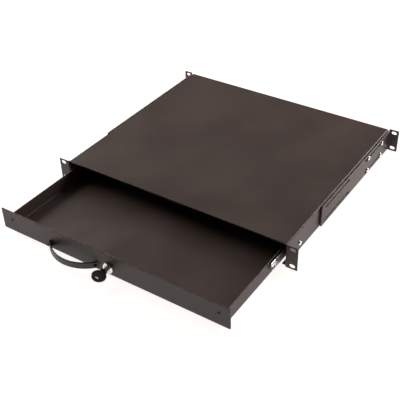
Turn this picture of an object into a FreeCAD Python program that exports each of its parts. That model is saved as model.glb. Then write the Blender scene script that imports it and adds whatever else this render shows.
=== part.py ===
"""Sliding rack drawer: a 1U locking drawer on telescopic slides in a folded steel rack case.

Millimetres. X runs across the rack, Y from the front posts to the rear, Z up.
The origin is the middle of the plane where the front ears meet the rack posts.
Everything that slides is modelled with the drawer shut, then placed pulled out by drawer_open.
"""
import FreeCAD, Part
import Sketcher
import math
import os
import re

from FreeCAD import Placement, Rotation, Vector

SIZES = [
    # rack standard
    ("rack_width", 482.6), ("ear_height", 43.6), ("hole_edge", 8.75), ("hole_rise", 31.75),
    ("ear_slot_length", 10.0), ("ear_slot_width", 6.8),
    # case
    ("ear_width", 20.3), ("case_top", 21.0), ("case_base", -21.6), ("case_front", 1.8),
    ("case_depth", 396.0), ("case_sheet", 1.2), ("case_flange", 7.7), ("case_lip", 2.4),
    ("bend_inside", 1.0),
    # tray
    ("slide_gap", 8.7), ("tray_sheet", 1.2), ("floor_gap", 3.0), ("tray_height", 26.6),
    ("tray_rear_gap", 13.3), ("drawer_open", 161.7),
    # front panel
    ("panel_overhang", 1.0), ("panel_rise", 1.2), ("panel_sheet", 1.5), ("panel_gap", 0.3),
    ("panel_corner", 1.5), ("panel_screw_inset", 9.1), ("panel_screw_drop", 4.2),
    # bow handle
    ("handle_centre", -70.0), ("handle_rise", 9.05), ("handle_span", 102.0), ("handle_reach", 24.0),
    ("handle_bow", 2.6), ("handle_root", 4.6), ("handle_height", 12.3), ("handle_edge", 0.8),
    ("handle_screw_radius", 1.5), ("handle_screw_bite", 7.0),
    # cam lock
    ("lock_centre", 3.0), ("lock_rise", 14.4), ("lock_turned", 13.6), ("bezel_radius", 9.6),
    ("bezel_height", 4.4), ("bezel_edge", 1.1), ("barrel_radius", 8.0), ("plug_radius", 5.5),
    ("plug_play", 0.06), ("plug_recess", 0.6), ("lock_nut_across", 20.0), ("lock_nut_height", 3.0),
    ("cam_length", 22.0), ("cam_width", 11.0), ("cam_sheet", 2.0), ("cam_gap", 1.2),
    ("cam_square", 6.0), ("cam_end_play", 0.2), ("cam_screw_radius", 4.2), ("cam_screw_height", 2.2),
    ("cam_screw_shank", 1.6), ("cam_screw_bite", 2.0),
    # key
    ("key_reach", 23.9), ("bow_radius", 11.6), ("bow_thick", 3.2), ("bow_edge", 0.7),
    ("ring_slot_length", 7.0), ("ring_slot_width", 3.0), ("ring_slot_out", 4.8),
    ("bow_neck", 10.4), ("bow_neck_reach", 13.9), ("blade_width", 7.2), ("blade_thick", 1.9),
    ("blade_length", 14.0), ("blade_socket", 8.0), ("keyway_play", 0.15), ("keyway_clear", 0.5),
    # strike under the case top
    ("strike_width", 24.0), ("strike_sheet", 1.2), ("strike_setback", 7.0), ("strike_foot", 15.0),
    ("strike_drop", 9.8),
    # telescopic slides
    ("slide_rise", 12.4), ("slide_half", 8.0), ("slide_sheet", 0.7), ("ball_radius", 0.9),
    ("race_play", 0.05), ("race_flat", 0.4), ("middle_inset", 1.6), ("outer_row", 3.65),
    ("inner_row_inset", 2.2), ("outer_tip", 5.13), ("middle_tip_inset", 0.82), ("inner_tip_inset", 3.2),
    ("slide_setback", 22.0), ("slide_end_gap", 17.0), ("middle_setback", 19.7), ("middle_end_gap", 10.0),
    ("inner_setback", 80.0),
    ("cage_sheet", 0.4), ("outer_cage_inset", 0.95), ("inner_cage_inset", 4.85), ("cage_hold", 1.15),
    ("outer_cage_setback", 88.2), ("outer_cage_length", 170.0), ("inner_cage_setback", 125.2),
    ("inner_cage_length", 140.0), ("ball_pitch", 50.0), ("cage_end", 5.0),
    ("bumper_radius", 4.2), ("bumper_thick", 0.6), ("bumper_setback", 4.6), ("bumper_stem", 1.8),
    # rear brackets
    ("bracket_gap", 1.6), ("bracket_sheet", 2.0), ("bracket_overhang", 2.0), ("bracket_length", 286.0),
    ("bracket_height", 39.5), ("bracket_level", 0.25), ("bracket_corner", 3.0),
    ("bracket_slot_rise", 25.0), ("bracket_slot_width", 5.2), ("front_slot_inset", 12.0),
    ("front_slot_length", 95.0), ("rear_slot_inset", 35.0), ("rear_slot_length", 81.0),
    # screws, rivets and nuts
    ("bracket_screw_inset", 39.0), ("bracket_screw_pitch", 59.0), ("screw_shank", 2.0),
    ("screw_head_radius", 3.9), ("screw_head_height", 2.4), ("collar_radius", 2.6), ("collar_height", 1.3),
    ("slide_screw_inset", 21.0), ("rivet_inset", 6.8), ("rivet_pitch", 124.0),
    ("rivet_head_radius", 3.0), ("rivet_head_height", 0.9), ("rivet_shank", 1.6),
    ("tray_screw_inset", 20.8), ("tray_screw_front", 36.6), ("tray_screw_radius", 2.6),
    ("tray_screw_head", 1.6), ("panel_screw_shank", 1.5), ("panel_screw_head", 3.0),
    ("panel_head_height", 1.2), ("panel_nut_across", 5.5), ("panel_nut_height", 2.4),
    # how far a cutting outline stands clear of the sheet that it cuts
    ("cut_past", 1.0),
]

NAMES = re.compile(r"\b(" + "|".join(alias for alias, _ in SIZES) + r")\b")

# Places that several sub-parts share, worked out from the sizes.
CASE_SIDE = "(rack_width / 2 - ear_width)"                    # outer face of a case side
CASE_INNER = f"({CASE_SIDE} - case_sheet)"                    # inner face of a case side
CASE_REAR = "(case_front + case_depth)"
CEILING = "(case_top - case_sheet)"
TRAY_SIDE = f"({CASE_INNER} - slide_gap)"                     # outer face of a tray side
TRAY_BASE = "(case_base + floor_gap)"
SLIDE_LEVEL = f"({TRAY_BASE} + slide_rise)"
TRAY_TOP = f"({TRAY_BASE} + tray_height)"
TRAY_FRONT = "(-case_sheet - panel_gap)"                      # the panel and the tray meet here
TRAY_REAR = f"({CASE_REAR} - tray_rear_gap)"
TRAY_WALL_BACK = f"({TRAY_FRONT} + tray_sheet)"               # rear face of the tray's front wall
PANEL_FACE = f"({TRAY_FRONT} - panel_sheet)"                  # front face of the panel
PANEL_BASE = f"({TRAY_BASE} + panel_rise)"
HANDLE_LEVEL = f"({PANEL_BASE} + handle_rise)"
PANEL_SCREW_SIDE = f"({TRAY_SIDE} - panel_screw_inset)"
PANEL_SCREW_LEVEL = f"({TRAY_TOP} - panel_screw_drop)"
LOCK_LEVEL = f"({PANEL_BASE} + lock_rise)"
STRIKE_FRONT = "(case_front + strike_setback)"
CAM_FRONT = f"({STRIKE_FRONT} + strike_sheet + cam_gap)"      # the cam passes just behind the strike
BARREL_BACK = f"({CAM_FRONT} - cam_end_play)"
PLUG_FACE = f"({PANEL_FACE} - bezel_height + plug_recess)"
KEY_CENTRE = f"({PANEL_FACE} - key_reach)"
SLIDE_FRONT = "(case_front + slide_setback)"
SLIDE_REAR = f"({CASE_REAR} - slide_end_gap)"
MIDDLE_FRONT = f"({SLIDE_FRONT} + middle_setback)"
MIDDLE_REAR = f"({SLIDE_REAR} - middle_end_gap)"
INNER_FRONT = f"({MIDDLE_FRONT} + inner_setback)"             # front end of a slide's drawer member
INNER_ROW = "(slide_gap - inner_row_inset)"
BRACKET_SIDE = f"({CASE_SIDE} + bracket_gap)"                 # inner face of a bracket's arm
BRACKET_REAR = f"({CASE_REAR} + bracket_overhang)"
BRACKET_FRONT = f"({BRACKET_REAR} - bracket_length)"
SIDE_HOLES = [f"{SLIDE_FRONT} + slide_screw_inset", f"{SLIDE_REAR} - rivet_inset - rivet_pitch",
              f"{SLIDE_REAR} - rivet_inset"]                  # slide screw and the two rivets

SIDES = {"left": -1, "right": 1}
TRAY_SCREWS = 3        # screws in each side of the tray
BALL_CHORDS = 4        # chords that a ball is turned from, pole to pole
PLANES = {"XY": "XY_Plane", "XZ": "XZ_Plane", "YZ": "YZ_Plane"}

doc = FreeCAD.newDocument("rack_drawer")
sheet = doc.addObject("Spreadsheet::Sheet", "Sizes")
for row, (alias, amount) in enumerate(SIZES, start=1):
    sheet.set(f"A{row}", alias)
    sheet.set(f"B{row}", str(amount))
    sheet.setAlias(f"B{row}", alias)
doc.recompute()

parts = []


# ---------------------------------------------------------------- sizes and sketches

def linked(text):
    """The expression with every size name pointing at its cell of the sheet."""
    return NAMES.sub(r"Sizes.\1", str(text))


def amount_of(text):
    """The value of an expression in millimetres."""
    return float(sheet.evalExpression(linked(text)))


def spot(x_text, y_text, z_text):
    """The point at three expressions."""
    return Vector(amount_of(x_text), amount_of(y_text), amount_of(z_text))


def bind(target, prop, text):
    """Ties a property of an object to an expression of the sheet."""
    target.setExpression(prop, linked(text))


def node(thing, label, slide=None):
    """Names a finished sub-part; slide is how far it sits forward of its shut place."""
    thing.Label = label
    if slide:
        bind(thing, "Placement.Base.y", f"-({slide})")
    parts.append(thing)
    return thing


def new_body(name):
    """An empty body for one sub-part."""
    return doc.addObject("PartDesign::Body", name)


def new_sketch(body, plane, start):
    """A sketch of the body on a plane parallel to one of its origin planes, start away from it."""
    sketch = body.newObject("Sketcher::SketchObject", f"{body.Name}_sketch")
    support = [item for item in body.Origin.OriginFeatures if item.Role == PLANES[plane]][0]
    sketch.AttachmentSupport = [(support, "")]
    sketch.MapMode = "FlatFace"
    sign = "-" if plane == "XZ" else ""
    bind(sketch, "AttachmentOffset.Base.z", f"{sign}({start})")
    return sketch


def place(sketch, item, point, x_text, y_text):
    """Holds one point of a sketch at two bound distances from the origin."""
    for kind, text in (("DistanceX", x_text), ("DistanceY", y_text)):
        number = sketch.addConstraint(Sketcher.Constraint(kind, -1, 1, item, point, amount_of(text)))
        bind(sketch, f"Constraints[{number}]", text)


def polygon(sketch, corners):
    """A closed outline through bound corners."""
    spots = [spot(x, y, "0") for x, y in corners]
    count = len(spots)
    lines = [sketch.addGeometry(Part.LineSegment(spots[i], spots[(i + 1) % count])) for i in range(count)]
    for i, line in enumerate(lines):
        sketch.addConstraint(Sketcher.Constraint("Coincident", line, 2, lines[(i + 1) % count], 1))
        place(sketch, line, 1, *corners[i])


def rectangle(sketch, x_low, x_high, y_low, y_high):
    """A rectangle between two bound corners."""
    polygon(sketch, [(x_low, y_low), (x_high, y_low), (x_high, y_high), (x_low, y_high)])


def oblong(sketch, wide, high):
    """A rectangle of a bound width and height about the origin."""
    rectangle(sketch, f"-({wide}) / 2", f"({wide}) / 2", f"-({high}) / 2", f"({high}) / 2")


def circle(sketch, x_text, y_text, radius):
    """A circle with a bound centre and radius."""
    item = sketch.addGeometry(Part.Circle(spot(x_text, y_text, "0"), Vector(0, 0, 1), amount_of(radius)))
    place(sketch, item, 3, x_text, y_text)
    number = sketch.addConstraint(Sketcher.Constraint("Radius", item, amount_of(radius)))
    bind(sketch, f"Constraints[{number}]", radius)


def slot(sketch, x_first, x_last, y_text, width):
    """A round-ended slot along the sketch's first axis between its two arc centres."""
    low, high, level = amount_of(x_first), amount_of(x_last), amount_of(y_text)
    radius = amount_of(width) / 2
    turn = math.pi / 2
    under, over = level - radius, level + radius
    ends = [Part.Circle(Vector(x, level, 0), Vector(0, 0, 1), radius) for x in (low, high)]
    first = sketch.addGeometry(Part.ArcOfCircle(ends[0], turn, 3 * turn))
    last = sketch.addGeometry(Part.ArcOfCircle(ends[1], -turn, turn))
    base = sketch.addGeometry(Part.LineSegment(Vector(low, under, 0), Vector(high, under, 0)))
    head = sketch.addGeometry(Part.LineSegment(Vector(high, over, 0), Vector(low, over, 0)))
    for one, other in ((first, base), (base, last), (last, head), (head, first)):
        sketch.addConstraint(Sketcher.Constraint("Tangent", one, 2, other, 1))
    sketch.addConstraint(Sketcher.Constraint("Equal", first, last))
    place(sketch, first, 3, x_first, y_text)
    place(sketch, last, 3, x_last, y_text)
    number = sketch.addConstraint(Sketcher.Constraint("Radius", first, radius))
    bind(sketch, f"Constraints[{number}]", f"({width}) / 2")


# ---------------------------------------------------------------- features of a body

def add(body, plane, start, length, draw, *details):
    """Pads what draw puts in a new sketch, from start along the plane's positive axis."""
    sketch = new_sketch(body, plane, start)
    draw(sketch, *details)
    pad = body.newObject("PartDesign::Pad", f"{body.Name}_pad")
    pad.Profile = sketch
    pad.Reversed = plane == "XZ"
    bind(pad, "Length", length)
    return pad


def cut(body, plane, start, length, draw, *details):
    """Pockets what draw puts in a new sketch, from start along the plane's positive axis."""
    doc.recompute()
    before = body.Shape.Volume
    sketch = new_sketch(body, plane, start)
    draw(sketch, *details)
    pocket = body.newObject("PartDesign::Pocket", f"{body.Name}_pocket")
    pocket.Profile = sketch
    pocket.Reversed = plane != "XZ"
    bind(pocket, "Length", length)
    doc.recompute()
    if body.Shape.Volume >= before:
        raise RuntimeError(f"{pocket.Name} cuts nothing")
    return pocket


def cut_through(body, plane, start, length, draw, *details):
    """Cuts right through a wall that begins at start and is length thick."""
    return cut(body, plane, f"{start} - cut_past", f"{length} + 2 * cut_past", draw, *details)


def edge_names(body, chosen):
    """The edges of the body so far that pass the test."""
    doc.recompute()
    names = [f"Edge{number}" for number, edge in enumerate(body.Tip.Shape.Edges, start=1) if chosen(edge)]
    if not names:
        raise RuntimeError(f"{body.Name} has none of the edges to round or bevel")
    return names


def round_edges(body, radius, chosen):
    """Fillets the edges of the body that pass the test."""
    names = edge_names(body, chosen)
    tip = body.Tip
    fillet = body.newObject("PartDesign::Fillet", f"{body.Name}_fillet")
    fillet.Base = (tip, names)
    bind(fillet, "Radius", radius)


def bevel_edges(body, size, chosen):
    """Chamfers the edges of the body that pass the test."""
    names = edge_names(body, chosen)
    tip = body.Tip
    chamfer = body.newObject("PartDesign::Chamfer", f"{body.Name}_chamfer")
    chamfer.Base = (tip, names)
    bind(chamfer, "Size", size)


def is_round(edge):
    """True for a circular edge."""
    return edge.Curve.TypeId == "Part::GeomCircle"


def lies(edge, axis, **places):
    """True for a straight edge along an axis ("x", "y" or "z") whose other coordinates match their sizes.

    A size after "either" stands for its mirror image too, as in x=("either", CASE_SIDE).
    """
    middle = edge.valueAt((edge.FirstParameter + edge.LastParameter) / 2)
    if is_round(edge) or abs(getattr(edge.tangentAt(edge.FirstParameter), axis)) < 0.99:
        return False
    for name, text in places.items():
        value = getattr(middle, name)
        if isinstance(text, tuple):
            value, text = abs(value), text[1]
        if abs(value - amount_of(text)) > 0.001:
            return False
    return True


def side_span(side, inner, outer):
    """Start and length along X of a layer between two distances from the middle, on one side."""
    length = f"(({outer}) - ({inner}))"
    return f"{side} * (({inner}) + ({outer})) / 2 - {length} / 2", length


# ---------------------------------------------------------------- case

def build_case():
    """Folded case: top, sides, back, bottom flanges, lip and the two front ears."""
    body = new_body("case_body")
    flange, floor = f"({CASE_SIDE} - case_flange)", "case_base + case_sheet"
    section = [(f"-{flange}", "case_base"), (f"-{CASE_SIDE}", "case_base"), (f"-{CASE_SIDE}", "case_top"),
               (CASE_SIDE, "case_top"), (CASE_SIDE, "case_base"), (flange, "case_base"), (flange, floor),
               (CASE_INNER, floor), (CASE_INNER, CEILING), (f"-{CASE_INNER}", CEILING),
               (f"-{CASE_INNER}", floor), (f"-{flange}", floor)]
    add(body, "XZ", "case_front", "case_depth", polygon, section)
    round_edges(body, "bend_inside + case_sheet", lambda edge: lies(edge, "y", x=("either", CASE_SIDE)))
    round_edges(body, "bend_inside", lambda edge: lies(edge, "y", x=("either", CASE_INNER)))
    buried = "case_top - case_sheet / 2"
    back = f"({CASE_SIDE} - 2 * case_sheet)"
    add(body, "XZ", f"{CASE_REAR} - case_sheet", "case_sheet", rectangle, f"-{back}", back, floor, buried)
    lip = f"({CASE_INNER} - bend_inside)"
    add(body, "XZ", "case_front", "case_sheet", rectangle, f"-{lip}", lip, "case_top - case_lip", buried)
    for side in SIDES.values():
        add_front_ear(body, side)
    for side in SIDES.values():
        for setback in bracket_screw_setbacks():
            for level in bracket_levels():
                add(body, "YZ", *side_span(side, CASE_SIDE, f"{CASE_SIDE} + collar_height"), circle,
                    setback, level, "collar_radius")
    cut_through(body, "YZ", f"-{CASE_SIDE} - collar_height", f"2 * ({CASE_SIDE} + collar_height)",
                case_side_holes)
    return node(body, "case")


def add_front_ear(body, side):
    """Folds one case side out into its ear and slots it."""
    inner, outer, tip = f"{side} * {CASE_INNER}", f"{side} * {CASE_SIDE}", f"{side} * rack_width / 2"
    plan = [(inner, "-case_sheet"), (tip, "-case_sheet"), (tip, "0"), (outer, "0"), (outer, "case_front"),
            (inner, "case_front")]
    add(body, "XY", "-ear_height / 2", "ear_height", polygon, plan)
    round_edges(body, "bend_inside", lambda edge: lies(edge, "z", x=outer, y="0"))
    round_edges(body, "bend_inside + case_sheet", lambda edge: lies(edge, "z", x=inner, y="-case_sheet"))
    cut_through(body, "XZ", "-case_sheet", "case_sheet", ear_slots, side)


def ear_slots(sketch, side):
    """The upper and lower rack slots of one ear."""
    reach = "(ear_slot_length - ear_slot_width) / 2"
    centre = f"{side} * (rack_width / 2 - hole_edge)"
    for rise in (-1, 1):
        level = f"{rise} * hole_rise / 2"
        slot(sketch, f"{centre} - {reach}", f"{centre} + {reach}", level, "ear_slot_width")


def bracket_levels():
    """Heights of the lower and upper rows of bracket screws and slots."""
    return [f"(bracket_level + {rise} * bracket_slot_rise / 2)" for rise in (-1, 1)]


def bracket_screw_setbacks():
    """Y of the front and rear bracket screws."""
    rear = f"{CASE_REAR} - bracket_screw_inset"
    return [f"({rear} - bracket_screw_pitch)", f"({rear})"]


def case_side_holes(sketch):
    """Holes through both case sides for the slide screws, rivets and bracket screws."""
    slide_holes(sketch)
    for setback in bracket_screw_setbacks():
        for level in bracket_levels():
            circle(sketch, setback, level, "screw_shank")


def slide_holes(sketch):
    """The holes that fix a cabinet member: one screw in front and two rivets behind."""
    screw, *rivets = SIDE_HOLES
    circle(sketch, screw, SLIDE_LEVEL, "screw_shank")
    for setback in rivets:
        circle(sketch, setback, SLIDE_LEVEL, "rivet_shank")


def build_strike():
    """Bent strike under the case top that the lock's cam hooks behind."""
    body = new_body("strike_body")
    inner = f"({STRIKE_FRONT} + strike_sheet)"
    under = f"({CEILING} - strike_sheet)"
    base = f"{CEILING} - strike_drop"
    foot = f"{STRIKE_FRONT} + strike_foot"
    section = [(STRIKE_FRONT, base), (inner, base), (inner, under), (foot, under), (foot, CEILING),
               (STRIKE_FRONT, CEILING)]
    add(body, "YZ", "lock_centre - strike_width / 2", "strike_width", polygon, section)
    round_edges(body, "bend_inside + strike_sheet", lambda edge: lies(edge, "x", y=STRIKE_FRONT, z=CEILING))
    round_edges(body, "bend_inside", lambda edge: lies(edge, "x", y=inner, z=under))
    return node(body, "strike_bracket")


# ---------------------------------------------------------------- drawer

def build_tray():
    """Folded tray: floor, two sides, front wall and back wall."""
    body = new_body("tray_body")
    inner, floor = f"({TRAY_SIDE} - tray_sheet)", f"({TRAY_BASE} + tray_sheet)"
    right = [(TRAY_SIDE, TRAY_BASE), (TRAY_SIDE, TRAY_TOP), (inner, TRAY_TOP), (inner, floor)]
    left = [(f"-{x}", z) for x, z in reversed(right)]
    add(body, "XZ", TRAY_FRONT, f"{TRAY_REAR} - {TRAY_FRONT}", polygon, right + left)
    round_edges(body, "bend_inside + tray_sheet",
                lambda edge: lies(edge, "y", x=("either", TRAY_SIDE), z=TRAY_BASE))
    round_edges(body, "bend_inside", lambda edge: lies(edge, "y", x=("either", inner), z=floor))
    wall = f"({TRAY_SIDE} - tray_sheet / 2)"
    for start in (TRAY_FRONT, f"{TRAY_REAR} - tray_sheet"):
        add(body, "XZ", start, "tray_sheet", rectangle, f"-{wall}", wall, f"{TRAY_BASE} + tray_sheet / 2",
            f"{TRAY_TOP} - tray_sheet")
    cut_through(body, "XZ", TRAY_FRONT, "tray_sheet", front_holes)
    cut_through(body, "YZ", f"-{TRAY_SIDE}", f"2 * {TRAY_SIDE}", tray_side_holes)
    return node(body, "tray", "drawer_open")


def front_holes(sketch):
    """Holes that the panel and the tray's front wall share: lock, handle screws, panel screws."""
    circle(sketch, "lock_centre", LOCK_LEVEL, "barrel_radius")
    handle_holes(sketch)
    for side in SIDES.values():
        circle(sketch, f"{side} * {PANEL_SCREW_SIDE}", PANEL_SCREW_LEVEL, "panel_screw_shank")


def handle_holes(sketch):
    """The two screw holes of the handle."""
    for side in SIDES.values():
        circle(sketch, handle_screw_place(side), HANDLE_LEVEL, "handle_screw_radius")


def handle_screw_place(side):
    """X of the screw in one end of the handle, at the middle of its root."""
    return f"handle_centre + {side} * (handle_span - handle_root) / 2"


def tray_screw_setbacks():
    """Y of the screws that hold a tray side to the slide, evenly along its drawer member, shut."""
    last = f"({SLIDE_REAR} - tray_screw_inset)"
    pitch = f"({last} - {INNER_FRONT} - tray_screw_front) / {TRAY_SCREWS - 1}"
    return [f"{last} - {index} * {pitch}" for index in range(TRAY_SCREWS)]


def tray_side_holes(sketch):
    """Holes through both tray sides for the screws of the slides' drawer members."""
    for setback in tray_screw_setbacks():
        circle(sketch, setback, SLIDE_LEVEL, "rivet_shank")


def build_panel():
    """Flat front plate, wider than the tray, that covers the opening of the case."""
    body = new_body("panel_body")
    edge_side = f"({CASE_SIDE} + panel_overhang)"
    add(body, "XZ", PANEL_FACE, "panel_sheet", rectangle, f"-{edge_side}", edge_side, PANEL_BASE,
        "case_top + panel_overhang")
    round_edges(body, "panel_corner", lambda edge: lies(edge, "y"))
    cut_through(body, "XZ", PANEL_FACE, "panel_sheet", front_holes)
    return node(body, "front_panel", "drawer_open")


def bow_outline(sketch):
    """Plan of the bow handle: two arcs that stand on the panel, thin in the middle, thick at the roots."""
    left, right = "handle_centre - handle_span / 2", "handle_centre + handle_span / 2"
    ends = [spot(left, PANEL_FACE, "0"), spot(right, PANEL_FACE, "0")]
    roots = [spot(f"{left} + handle_root", PANEL_FACE, "0"), spot(f"{right} - handle_root", PANEL_FACE, "0")]
    outer = spot("handle_centre", f"{PANEL_FACE} - handle_reach", "0")
    inner = spot("handle_centre", f"{PANEL_FACE} - handle_reach + handle_bow", "0")
    sketch.addGeometry(Part.Arc(ends[0], outer, ends[1]))
    sketch.addGeometry(Part.LineSegment(ends[1], roots[1]))
    sketch.addGeometry(Part.Arc(roots[1], inner, roots[0]))
    sketch.addGeometry(Part.LineSegment(roots[0], ends[0]))


def build_handle():
    """Moulded bow handle with a screw hole up each root."""
    body = new_body("handle_body")
    add(body, "XY", f"{HANDLE_LEVEL} - handle_height / 2", "handle_height", bow_outline)
    bevel_edges(body, "handle_edge", is_round)
    cut(body, "XZ", f"{PANEL_FACE} - handle_screw_bite", "handle_screw_bite", handle_holes)
    return node(body, "handle", "drawer_open")


# ---------------------------------------------------------------- cam lock and key

def on_lock_axis(body, label, turn=None):
    """Moves a body from the Y axis to the lock's axis; turn is how far the key has turned it."""
    if turn:
        body.Placement = Placement(Vector(), Rotation(Vector(0, 1, 0), amount_of(turn)))
    bind(body, "Placement.Base.x", "lock_centre")
    bind(body, "Placement.Base.z", LOCK_LEVEL)
    return node(body, label, "drawer_open")


def build_lock_housing():
    """Barrel of the cam lock with its bezel in front of the panel."""
    body = new_body("housing_body")
    front, length = f"{PANEL_FACE} - bezel_height", f"{BARREL_BACK} - {PANEL_FACE}"
    add(body, "XZ", front, "bezel_height", circle, "0", "0", "bezel_radius")
    add(body, "XZ", PANEL_FACE, length, circle, "0", "0", "barrel_radius")
    bevel_edges(body, "bezel_edge", lambda edge: abs(edge.BoundBox.YMax - amount_of(front)) < 0.001)
    cut_through(body, "XZ", front, f"{length} + bezel_height", circle, "0", "0", "plug_radius + plug_play")
    return on_lock_axis(body, "lock_housing")


def hexagon(sketch, across):
    """A hexagonal outline about the origin, flats up and down."""
    corner = f"({across}) / (2 * cos(30))"
    polygon(sketch, [(f"{corner} * cos({60 * i})", f"{corner} * sin({60 * i})") for i in range(6)])


def build_lock_nut():
    """Nut that clamps the lock to the panel and the tray's front wall."""
    body = new_body("lock_nut_body")
    add(body, "XZ", TRAY_WALL_BACK, "lock_nut_height", hexagon, "lock_nut_across")
    cut_through(body, "XZ", TRAY_WALL_BACK, "lock_nut_height", circle, "0", "0", "barrel_radius")
    return on_lock_axis(body, "lock_nut")


def build_lock_plug():
    """Plug that the key turns, with its keyway and the square that carries the cam."""
    body = new_body("plug_body")
    end = f"{CAM_FRONT} + cam_sheet"
    add(body, "XZ", PLUG_FACE, f"{BARREL_BACK} - {PLUG_FACE}", circle, "0", "0", "plug_radius")
    add(body, "XZ", BARREL_BACK, f"{end} - {BARREL_BACK}", oblong, "cam_square", "cam_square")
    cut(body, "XZ", f"{PLUG_FACE} - cut_past", "blade_length + keyway_clear + cut_past", oblong,
        "blade_width + 2 * keyway_play", "blade_thick + 2 * keyway_play")
    cut(body, "XZ", f"{end} - cam_screw_bite", "cam_screw_bite + cut_past", circle, "0", "0",
        "cam_screw_shank")
    return on_lock_axis(body, "lock_plug", "lock_turned")


def build_lock_cam():
    """Round-ended cam on the square of the plug, pointing left when the lock is open."""
    body = new_body("cam_body")
    add(body, "XZ", CAM_FRONT, "cam_sheet", slot, "-cam_length + cam_width / 2", "0", "0", "cam_width")
    cut_through(body, "XZ", CAM_FRONT, "cam_sheet", oblong, "cam_square", "cam_square")
    return on_lock_axis(body, "lock_cam", "lock_turned")


def build_cam_screw():
    """Screw that holds the cam on the plug."""
    body = new_body("cam_screw_body")
    back = f"({CAM_FRONT} + cam_sheet)"
    add(body, "XZ", back, "cam_screw_height", circle, "0", "0", "cam_screw_radius")
    add(body, "XZ", f"{back} - cam_screw_bite", "cam_screw_bite", circle, "0", "0", "cam_screw_shank")
    return on_lock_axis(body, "cam_screw", "lock_turned")


def build_key():
    """Flat key: a blade in the plug and a round moulded bow with a slot for a ring."""
    root = f"({KEY_CENTRE} + blade_socket)"
    blade = new_body("blade_body")
    add(blade, "XZ", root, f"{PLUG_FACE} + blade_length - {root}", oblong, "blade_width", "blade_thick")
    on_lock_axis(blade, "key_blade", "lock_turned")

    bow = new_body("bow_body")
    under = "-bow_thick / 2"
    neck_end = f"({KEY_CENTRE} + bow_neck_reach)"
    add(bow, "XY", under, "bow_thick", circle, "0", KEY_CENTRE, "bow_radius")
    add(bow, "XY", under, "bow_thick", rectangle, "-bow_neck / 2", "bow_neck / 2", KEY_CENTRE, neck_end)
    bevel_edges(bow, "bow_edge", is_round)
    reach = "(ring_slot_length - ring_slot_width) / 2"
    cut_through(bow, "XY", under, "bow_thick", slot, f"-{reach}", reach, f"{KEY_CENTRE} - ring_slot_out",
                "ring_slot_width")
    cut(bow, "XZ", root, f"{neck_end} - {root} + cut_past", oblong, "blade_width", "blade_thick")
    on_lock_axis(bow, "key_bow", "lock_turned")


# ---------------------------------------------------------------- telescopic slides

class Races:
    """Levels of the ball rows and flanges above the middle of a slide, nested from the outside in."""

    def __init__(self):
        self.sheet = amount_of("slide_sheet")
        self.groove = amount_of("ball_radius + race_play")
        self.bead = self.groove + self.sheet
        flat = amount_of("race_flat")
        self.outer_balls = amount_of("slide_half") - self.bead
        self.cabinet = (self.outer_balls + flat + self.sheet, self.outer_balls + flat)
        self.middle = (self.outer_balls - flat, self.outer_balls - flat - self.sheet)
        self.inner_balls = self.middle[1] - flat
        self.drawer = (self.inner_balls - flat, self.inner_balls - flat - self.sheet)
        self.outer_row = amount_of("outer_row")
        self.inner_row = amount_of(INNER_ROW)


def rippled(level, start, end, beads):
    """Edges along one face of a flange, from start to end, swung round each bead (centre, height, radius)."""
    edges = []
    here = Vector(start, level, 0)
    way = 1 if end > start else -1
    for centre, height, radius in sorted(beads, key=lambda bead: way * bead[0]):
        reach = math.sqrt(radius ** 2 - (level - height) ** 2)
        crown = height + math.copysign(radius, level - height)
        first = Vector(centre - way * reach, level, 0)
        last = Vector(centre + way * reach, level, 0)
        edges.append(Part.LineSegment(here, first))
        edges.append(Part.Arc(first, Vector(centre, crown, 0), last))
        here = last
    edges.append(Part.LineSegment(here, Vector(end, level, 0)))
    return edges


def channel(sketch, side, web, tip, levels, outer_beads, inner_beads):
    """Section of a slide member: a web and two mirrored flanges with rolled ball races.

    web is (back, front) depth from the case side, tip the depth of the flange's edge, levels the heights
    of the flange's two faces; the beads swing its outer and inner face.
    """
    outside, inside = levels
    back, front = web
    half = [Part.LineSegment(Vector(back, 0, 0), Vector(back, outside, 0))]
    half += rippled(outside, back, tip, outer_beads)
    half.append(Part.LineSegment(Vector(tip, outside, 0), Vector(tip, inside, 0)))
    half += rippled(inside, tip, front, inner_beads)
    half.append(Part.LineSegment(Vector(front, inside, 0), Vector(front, 0, 0)))
    for flip in (1, -1):
        move = FreeCAD.Matrix()
        move.A11, move.A14 = -side, side * amount_of(CASE_INNER)
        move.A22, move.A24 = flip, amount_of(SLIDE_LEVEL)
        for edge in half:
            copy = edge.copy()
            copy.transform(move)
            sketch.addGeometry(copy)


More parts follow.
